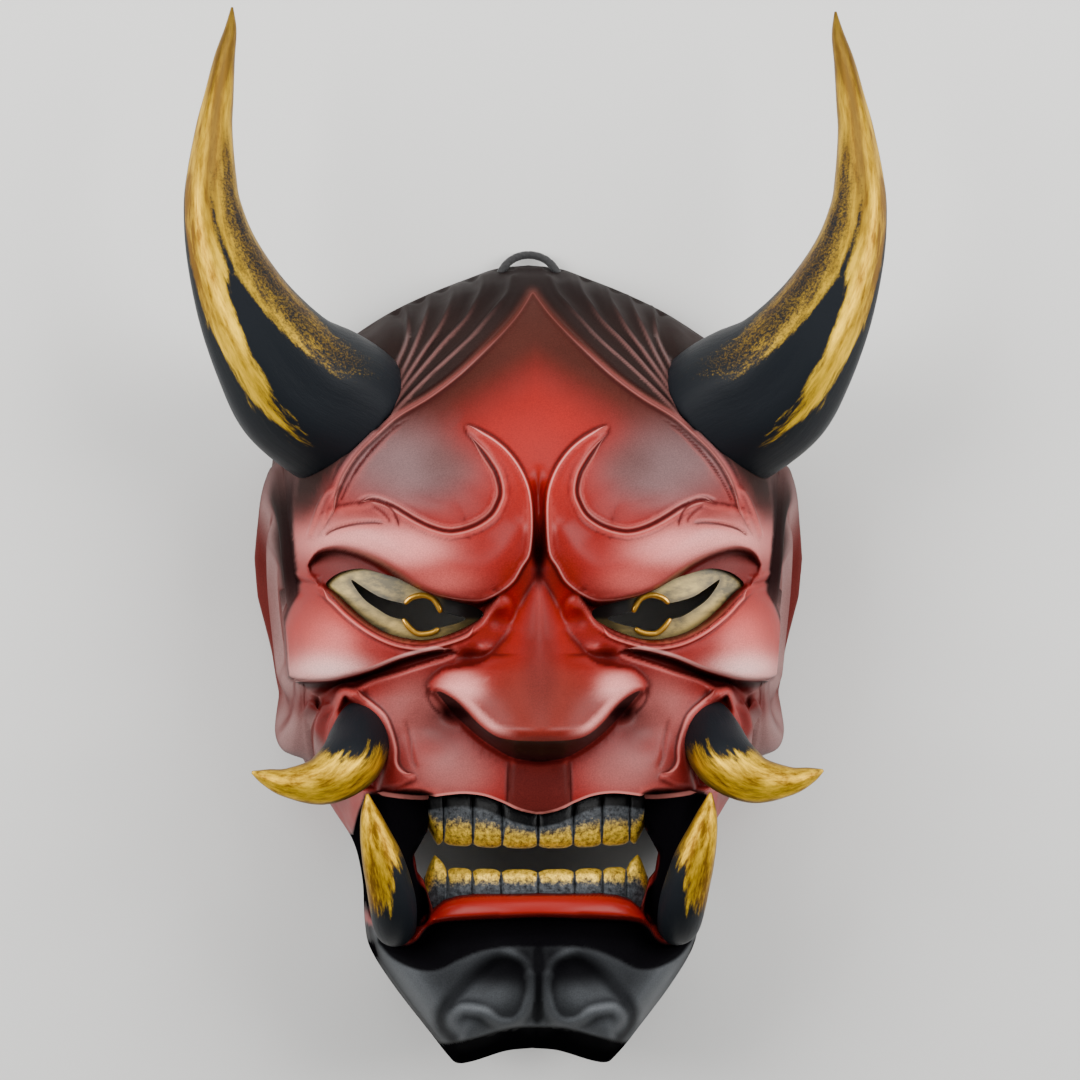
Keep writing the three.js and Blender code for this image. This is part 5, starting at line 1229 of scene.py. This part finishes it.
# Tusks
# Four tusks, cast in one piece each: two curve outwards from sockets in the upper lip and two stand in
# cups in the lower lip. Slate black at the root, gold towards the point. The tables are as the horns'.
CHEEK_TUSK = [[60.5, -63, 58, 9], [64.5, -70, 74, 10.6], [67.3, -76.5, 88, 11.6],
              [72, -84.6, 100, 11.4], [82.4, -91.2, 107, 9.1], [95, -92, 109, 5.6],
              [103.4, -89.9, 108, 3.1], [108.6, -88, 106, 0.6]]
LOWER_TUSK = [[53, -147, 74, 7], [54, -145.4, 90, 8.2], [55.2, -138, 100, 8.7],
              [57, -130, 105, 8.3], [59.4, -121.2, 108, 7.5], [62.2, -112.1, 110, 5.7],
              [64.3, -103.4, 111, 3.4], [65.3, -96.3, 111, 0.5]]
TUSK_SIDES, TUSK_STEPS = 64, 12


def tusk_shape(turn, share):
    """Round, with one soft ridge along the length."""
    return 1 - 0.035 * hump(turn - 2.2, 0.5) * ease(share, 0.2, 0.4) * ease(1 - share, 0.0, 0.2)


def cheek_cover(turn, run):
    """Gold from a slanting line on, which the side towards the mouth meets last."""
    return ease(run - 10 * (1 + np.cos(turn - 0.4)), 26, 46)


def lower_cover(turn, run):
    """The same, on a line that slants more steeply: the delay grows by the square."""
    return ease(run - 5 * (1 + np.cos(turn - 0.3)) ** 2, 20, 42)


for table, name, cover_of in ((CHEEK_TUSK, "cheek_tusk", cheek_cover),
                              (LOWER_TUSK, "lower_tusk", lower_cover)):
    tusk_points, tusk_faces, tusk_straight = tapered(table, TUSK_SIDES, TUSK_STEPS, tusk_shape)
    tusk = made_mesh(name + "_right_piece", tusk_points, tusk_faces)
    stored(tusk, "straight", tusk_straight)
    stored(tusk, "gold", cover_of(*run_of(tusk_straight)))
    # Bronze where the tusk turns away from above: painted shade on its sides.
    stored(tusk, "bronze", 0.9 * ease(normals_of(tusk)[:, 2], 0.75, 0.15))
    solid_of(tusk, [("DIFFERENCE", face_block())])
    tusk.data.shade_smooth()
    tusk_gold = rubbed_gold(name + " gold over black", 4.0, 0.5)
    for side_of_tusk, one in (("right", tusk), ("left", mirrored_piece(tusk, name + "_left_piece"))):
        wear(one, tusk_gold)
        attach(one, "root")
        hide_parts(f"{name}_{side_of_tusk}")

# Teeth
# Two rows, each cast in one piece and glued behind the lips: squarish front teeth with a pointed
# canine at each end, gold at the biting edge and slate grey at the gum.
UPPER_TEETH = [-41.6, -35.4, -24.5, -13.5, 0, 13.5, 24.5, 35.4, 41.6]
LOWER_TEETH = [-42.6, -34, -24.8, -14, 0, 14, 24.8, 34, 42.6]
UPPER_CANINE = [[0, 7], [0.3, 3.4], [0.6, 0.5], [0.7, 0.2], [0.86, 0.9], [1, 2]]
TOOTH_COLUMNS = 361
ARCH_FRONT = 101.4
ARCH_CURVE = 0.0095
TOOTH_DEPTH = 5.2
LOWER_CANINE = [[0, 4.9], [0.25, -0.9], [0.42, -3.7], [0.5, -3.9], [0.8, -1.4], [1, 1.8]]


def tooth_row(edges, gum, bite_y, rise, canine_line, bite):
    """A row as one closed skin: over each tooth the front swells by a rounded square, drops back at
    the gaps, and the biting edge rounds off. The canine's line tells how far short of the biting edge
    it stays, from its outer edge inwards."""
    x = np.linspace(edges[0], edges[-1], TOOTH_COLUMNS)
    which = np.clip(np.searchsorted(edges, x, side="right") - 1, 0, len(edges) - 2)
    left, right = np.take(edges, which), np.take(edges, which + 1)
    across = 2 * (x - left) / (right - left) - 1
    canine = (which == 0) | (which == len(edges) - 2)
    crown = (1 - np.abs(across) ** 7) ** 0.5
    inwards = (1 - np.sign(x) * across) / 2
    profile = drawn(canine_line, 8)
    short = np.where(canine, np.interp(inwards, profile[:, 0], profile[:, 1]),
                     0.25 + 1.5 * np.abs(across) ** 4)
    end = bite_y + bite * short + rise * x * x
    gum_y = gum(np.abs(x))
    arch = ARCH_FRONT - ARCH_CURVE * x * x
    down = np.concatenate([np.linspace(0, 0.86, 20), 1 - 0.14 * np.cos(np.linspace(0, np.pi / 2, 10))[1:]])
    bulge = 2.6 * crown[:, None] * np.sin(np.pi * np.clip(down, 0, 1) ** 0.8)[None, :] ** 0.5
    round_over = 1.6 * np.clip((down - 0.8) / 0.2, 0, 1)[None, :] ** 2
    front_z = arch[:, None] - 1.6 + bulge - round_over
    front_y = mixed(gum_y[:, None], end[:, None], down[None, :])
    back_y = front_y[:, ::-1][:, ::3]
    back_z = np.broadcast_to(arch[:, None] - TOOTH_DEPTH, back_y.shape)
    y = np.concatenate([front_y, back_y], axis=1)
    z = np.concatenate([front_z, back_z], axis=1)
    loops = placed(np.broadcast_to(x[:, None], y.shape), y, z)
    rows, around = y.shape
    faces = grid_faces(rows, around, True)
    ends = np.vstack([loops[0].mean(0), loops[-1].mean(0)])
    k = np.arange(around)
    faces = np.vstack([faces, fan(rows * around, k),
                       fan(rows * around + 1, k + (rows - 1) * around)[:, ::-1]])
    growth = np.clip(np.concatenate([np.broadcast_to(down, front_y.shape),
                                     np.broadcast_to(down[::-1][::3], back_y.shape)], axis=1), 0, 1)
    gap = np.broadcast_to((np.abs(across) ** 16)[:, None], y.shape)
    covered, _ = to_line(lip_top, np.abs(np.broadcast_to(x[:, None], y.shape)).ravel(), y.ravel(), 9,
                         signed=True)
    return (np.vstack([loops.reshape(-1, 3), ends]), faces if bite > 0 else faces[:, ::-1],
            np.append(growth.ravel(), [0, 0]), np.append(gap.ravel(), [1, 1]),
            np.append(covered, [0, 0]))


def gum_above(x):
    """Where the upper teeth meet the lip."""
    return np.interp(x, lip_top[::-1, 0], lip_top[::-1, 1]) + 1.4


def gum_below(x):
    """Where the lower teeth meet the lip."""
    return np.interp(x, lip_in[:, 0], lip_in[:, 1]) - 1.4


tooth_gold, tree, shader = new_material("tooth gold over slate", Roughness=0.34, Specular_IOR_Level=0.12)
worn = noise(tree, place_on(tree), 620.0, 8.0, 0.7)
reach_up = worked(tree, "ADD", worked(tree, "MULTIPLY", worn, 0.55), reading(tree, "growth"))
cover = spread(tree, worked(tree, "SUBTRACT", reach_up, reading(tree, "gap")), 0.76, 1.04,
               curve="SMOOTHSTEP")
tone = spread(tree, worn, 0.35, 0.65)
gold = layered(tree, tone, (108, 76, 18), (252, 208, 70))
slate = layered(tree, tone, (26, 27, 30), (86, 90, 94))
# Near black just under the upper lip's edge: painted shade under the lip's overhang.
slate = layered(tree, spread(tree, reading(tree, "covered"), 4.2, 5.2), (3, 3, 4), slate)
tree.links.new(layered(tree, cover, slate, gold), shader.inputs["Base Color"])
tree.links.new(spread(tree, cover, 0.0, 1.0, 0.0, 0.45), shader.inputs["Metallic"])
roughened(tree, shader, worn, 0.4, 0.0006)
for name, *shape in (("upper_teeth", UPPER_TEETH, gum_above, -117.6, 0.0012, UPPER_CANINE, 1),
                     ("lower_teeth", LOWER_TEETH, gum_below, -125.0, 0.0008, LOWER_CANINE, -1)):
    row_points, row_faces, row_growth, row_gap, row_covered = tooth_row(*shape)
    row = made_mesh(name + "_row", row_points, row_faces)
    stored(row, "growth", row_growth)
    stored(row, "gap", row_gap)
    stored(row, "covered", row_covered)
    wear(row, tooth_gold)
    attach(row, "root")
    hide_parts(name)

# Eye plates
# Thin curved plates set into the eye openings, pale brass paint darkened towards the inner corner and
# along the rims of the opening by painted shade, with the pupil and its slit cut right through and a
# raised gold ring round the pupil.
PUPIL_SLIT = [[70.6, -15.2], [65.7, -18.2], [59.6, -21.7], [52.8, -23.6], [49.4, -23.9],
              [46, -22.6], [42.4, -22.1], [38.8, -23.2], [36.8, -26.6], [31.5, -28.4], [26.9, -29.8],
              [30.6, -31.7], [36.4, -33.2], [39.6, -34.3], [43.6, -34.9], [47.6, -33.6],
              [50.2, -30.6], [55.4, -29.1], [59.6, -26.8], [64.9, -23.2], [68.4, -19.2]]
RING_UPPER = [[50.2, -24.3], [47.6, -21.9], [43.4, -20.9], [39.6, -22.2], [37.4, -25.2], [36.5, -27.6]]
RING_LOWER = [[50.8, -29.8], [48.4, -33.2], [45.5, -35.4], [42.2, -35.6], [39, -34.8], [37.2, -33.4]]
PLATE = 3.0
PLATE_GAP = 0.12
PLATE_SHARP_FROM = np.radians(40)
RING_RADIUS = 1.1
RING_SIDES = 14


def eye_slab():
    """A slab over the whole opening whose top follows the eyeball's curve."""
    x, y = np.meshgrid(np.linspace(16, 84, 137), np.linspace(-42, -8, 69), indexing="xy")
    top = eyeball(x, y)
    upper = np.stack([*np.moveaxis(placed(x, y, at_eye_level(x)), -1, 0)[:2], top], -1)
    lower = upper - [0, 0, PLATE]
    rows, across = x.shape
    count = rows * across
    faces = grid_faces(rows, across, False)
    rim = border_of(rows, across)
    walls = np.concatenate([rim, rim + count])[grid_faces(2, len(rim), True)]
    return made_mesh("eye_right_plate", np.vstack([upper.reshape(-1, 3), lower.reshape(-1, 3)]),
                     np.vstack([faces, faces[:, ::-1] + count, walls]))


eye_right = eye_slab()
slab_loop = drawn(EYE_HOLE, 4, True)
inward = np.array([50, -25]) - slab_loop
slab_loop = slab_loop + inward * (PLATE_GAP / np.linalg.norm(inward, axis=1, keepdims=True))
solid_of(eye_right, [("INTERSECT", prism_of(slab_loop, 60, 120, at_eye_level)),
                     ("DIFFERENCE", prism_of(drawn(PUPIL_SLIT, 4, True), 50, 130, at_eye_level))])
eye_right.data.set_sharp_from_angle(angle=PLATE_SHARP_FROM)
plate_x, plate_y = laid_out(points_of(eye_right))
from_edge = np.minimum(depth_in(slab_loop, plate_x, plate_y), -depth_in(PUPIL_SLIT, plate_x, plate_y))
# Painted shade: dark towards the inner corner, most of all in its upper part, and along the edges under
# the opening's rims and beside the slit.
shade = np.maximum(ease(40 - plate_x, -4, 6) * ease(plate_y, -34, -29), 0.75 * ease(38 - plate_x, 0, 10))
stored(eye_right, "shade", np.maximum(shade, 0.6 * ease(from_edge, 2.4, 0.2)))
eye_left = mirrored_piece(eye_right, "eye_left_plate")
eye_brass, tree, shader = new_material("pale brass paint", Roughness=0.5, Metallic=0.15)
pulled = wired(tree, "ShaderNodeMapping", {"Vector": place_on(tree), "Scale": (1, 2.2, 1)}).outputs[0]
brushed = noise(tree, pulled, 160.0, 6.0, 0.65)
tone = worked(tree, "ADD", brushed, noise(tree, place_on(tree), 60.0, 3.0))
brass = layered(tree, spread(tree, tone, 0.8, 1.2), (92, 82, 54), (186, 160, 92))
tree.links.new(layered(tree, reading(tree, "shade"), brass, (16, 13, 11)), shader.inputs["Base Color"])
roughened(tree, shader, brushed, 0.3, 0.0004)
ring_gold, tree, shader = new_material(
    "ring gold", Base_Color=(*linear(222, 168, 62), 1), Roughness=0.32, Metallic=0.8)
roughened(tree, shader, noise(tree, place_on(tree), 500.0, 4.0), 0.4, 0.0004)
for plate, side_of_plate in ((eye_right, "right"), (eye_left, "left")):
    wear(plate, eye_brass)
    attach(plate, "root")
    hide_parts(f"eye_{side_of_plate}")
for number, arc in enumerate((RING_UPPER, RING_LOWER)):
    line = drawn(arc, 10)
    route = placed(line[:, 0], line[:, 1], at_eye_level(line[:, 0]))
    route[:, 2] = eyeball(line[:, 0], line[:, 1]) + 0.1
    ends = np.linspace(0, 1, len(route))[:, None]
    taper = RING_RADIUS * (0.35 + 0.65 * roll(np.minimum(ends, 1 - ends), 0.2))
    ring_points, ring_faces, _ = swept(route, lambda turn, run: taper + 0 * turn, RING_SIDES)
    ring = made_mesh(f"pupil_ring_{number}_right", ring_points, ring_faces)
    for one in (ring, mirrored_piece(ring, f"pupil_ring_{number}_left")):
        wear(one, ring_gold)
        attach(one, "root")

# Floor and light
# A plain pale floor under the mask, a broad soft light above the brow, one to each side and a pale
# surrounding, as in a small studio.
FLOOR_HALF = 4.0
LIGHTS_AIM_AT = Vector((0, -0.02, 0.08))
SURROUNDING = (0.95, 0.97, 1.0, 1)
SURROUNDING_STRENGTH = 0.16
floor_mesh = bpy.data.meshes.new("floor")
floor_corners = [(x * FLOOR_HALF, y * FLOOR_HALF, 0) for x, y in ((-1, -1), (1, -1), (1, 1), (-1, 1))]
floor_mesh.from_pydata(floor_corners, [], [(0, 1, 2, 3)])
floor = bpy.data.objects.new("floor", floor_mesh)
bpy.context.scene.collection.objects.link(floor)
floor_grey, _, _ = new_material("floor", Base_Color=(*linear(222, 221, 218), 1), Roughness=0.8)
floor_mesh.materials.append(floor_grey)

world = bpy.data.worlds.new("studio")
world.use_nodes = True
surrounding = world.node_tree.nodes["Background"]
surrounding.inputs["Color"].default_value = SURROUNDING
surrounding.inputs["Strength"].default_value = SURROUNDING_STRENGTH
bpy.context.scene.world = world
for name, at, size, power in (("light_above", (0.0, 1.05, 1.0), (1.4, 0.6), 16),
                              ("light_left", (-1.0, 0.25, 0.8), (0.6, 1.2), 24),
                              ("light_right", (1.0, 0.25, 0.8), (0.6, 1.2), 24)):
    soft = bpy.data.lights.new(name, "AREA")
    soft.shape, soft.size, soft.size_y, soft.energy = "RECTANGLE", size[0], size[1], power
    lamp = bpy.data.objects.new(name, soft)
    lamp.location = at
    lamp.rotation_euler = (LIGHTS_AIM_AT - Vector(at)).to_track_quat("-Z", "Y").to_euler()
    bpy.context.scene.collection.objects.link(lamp)
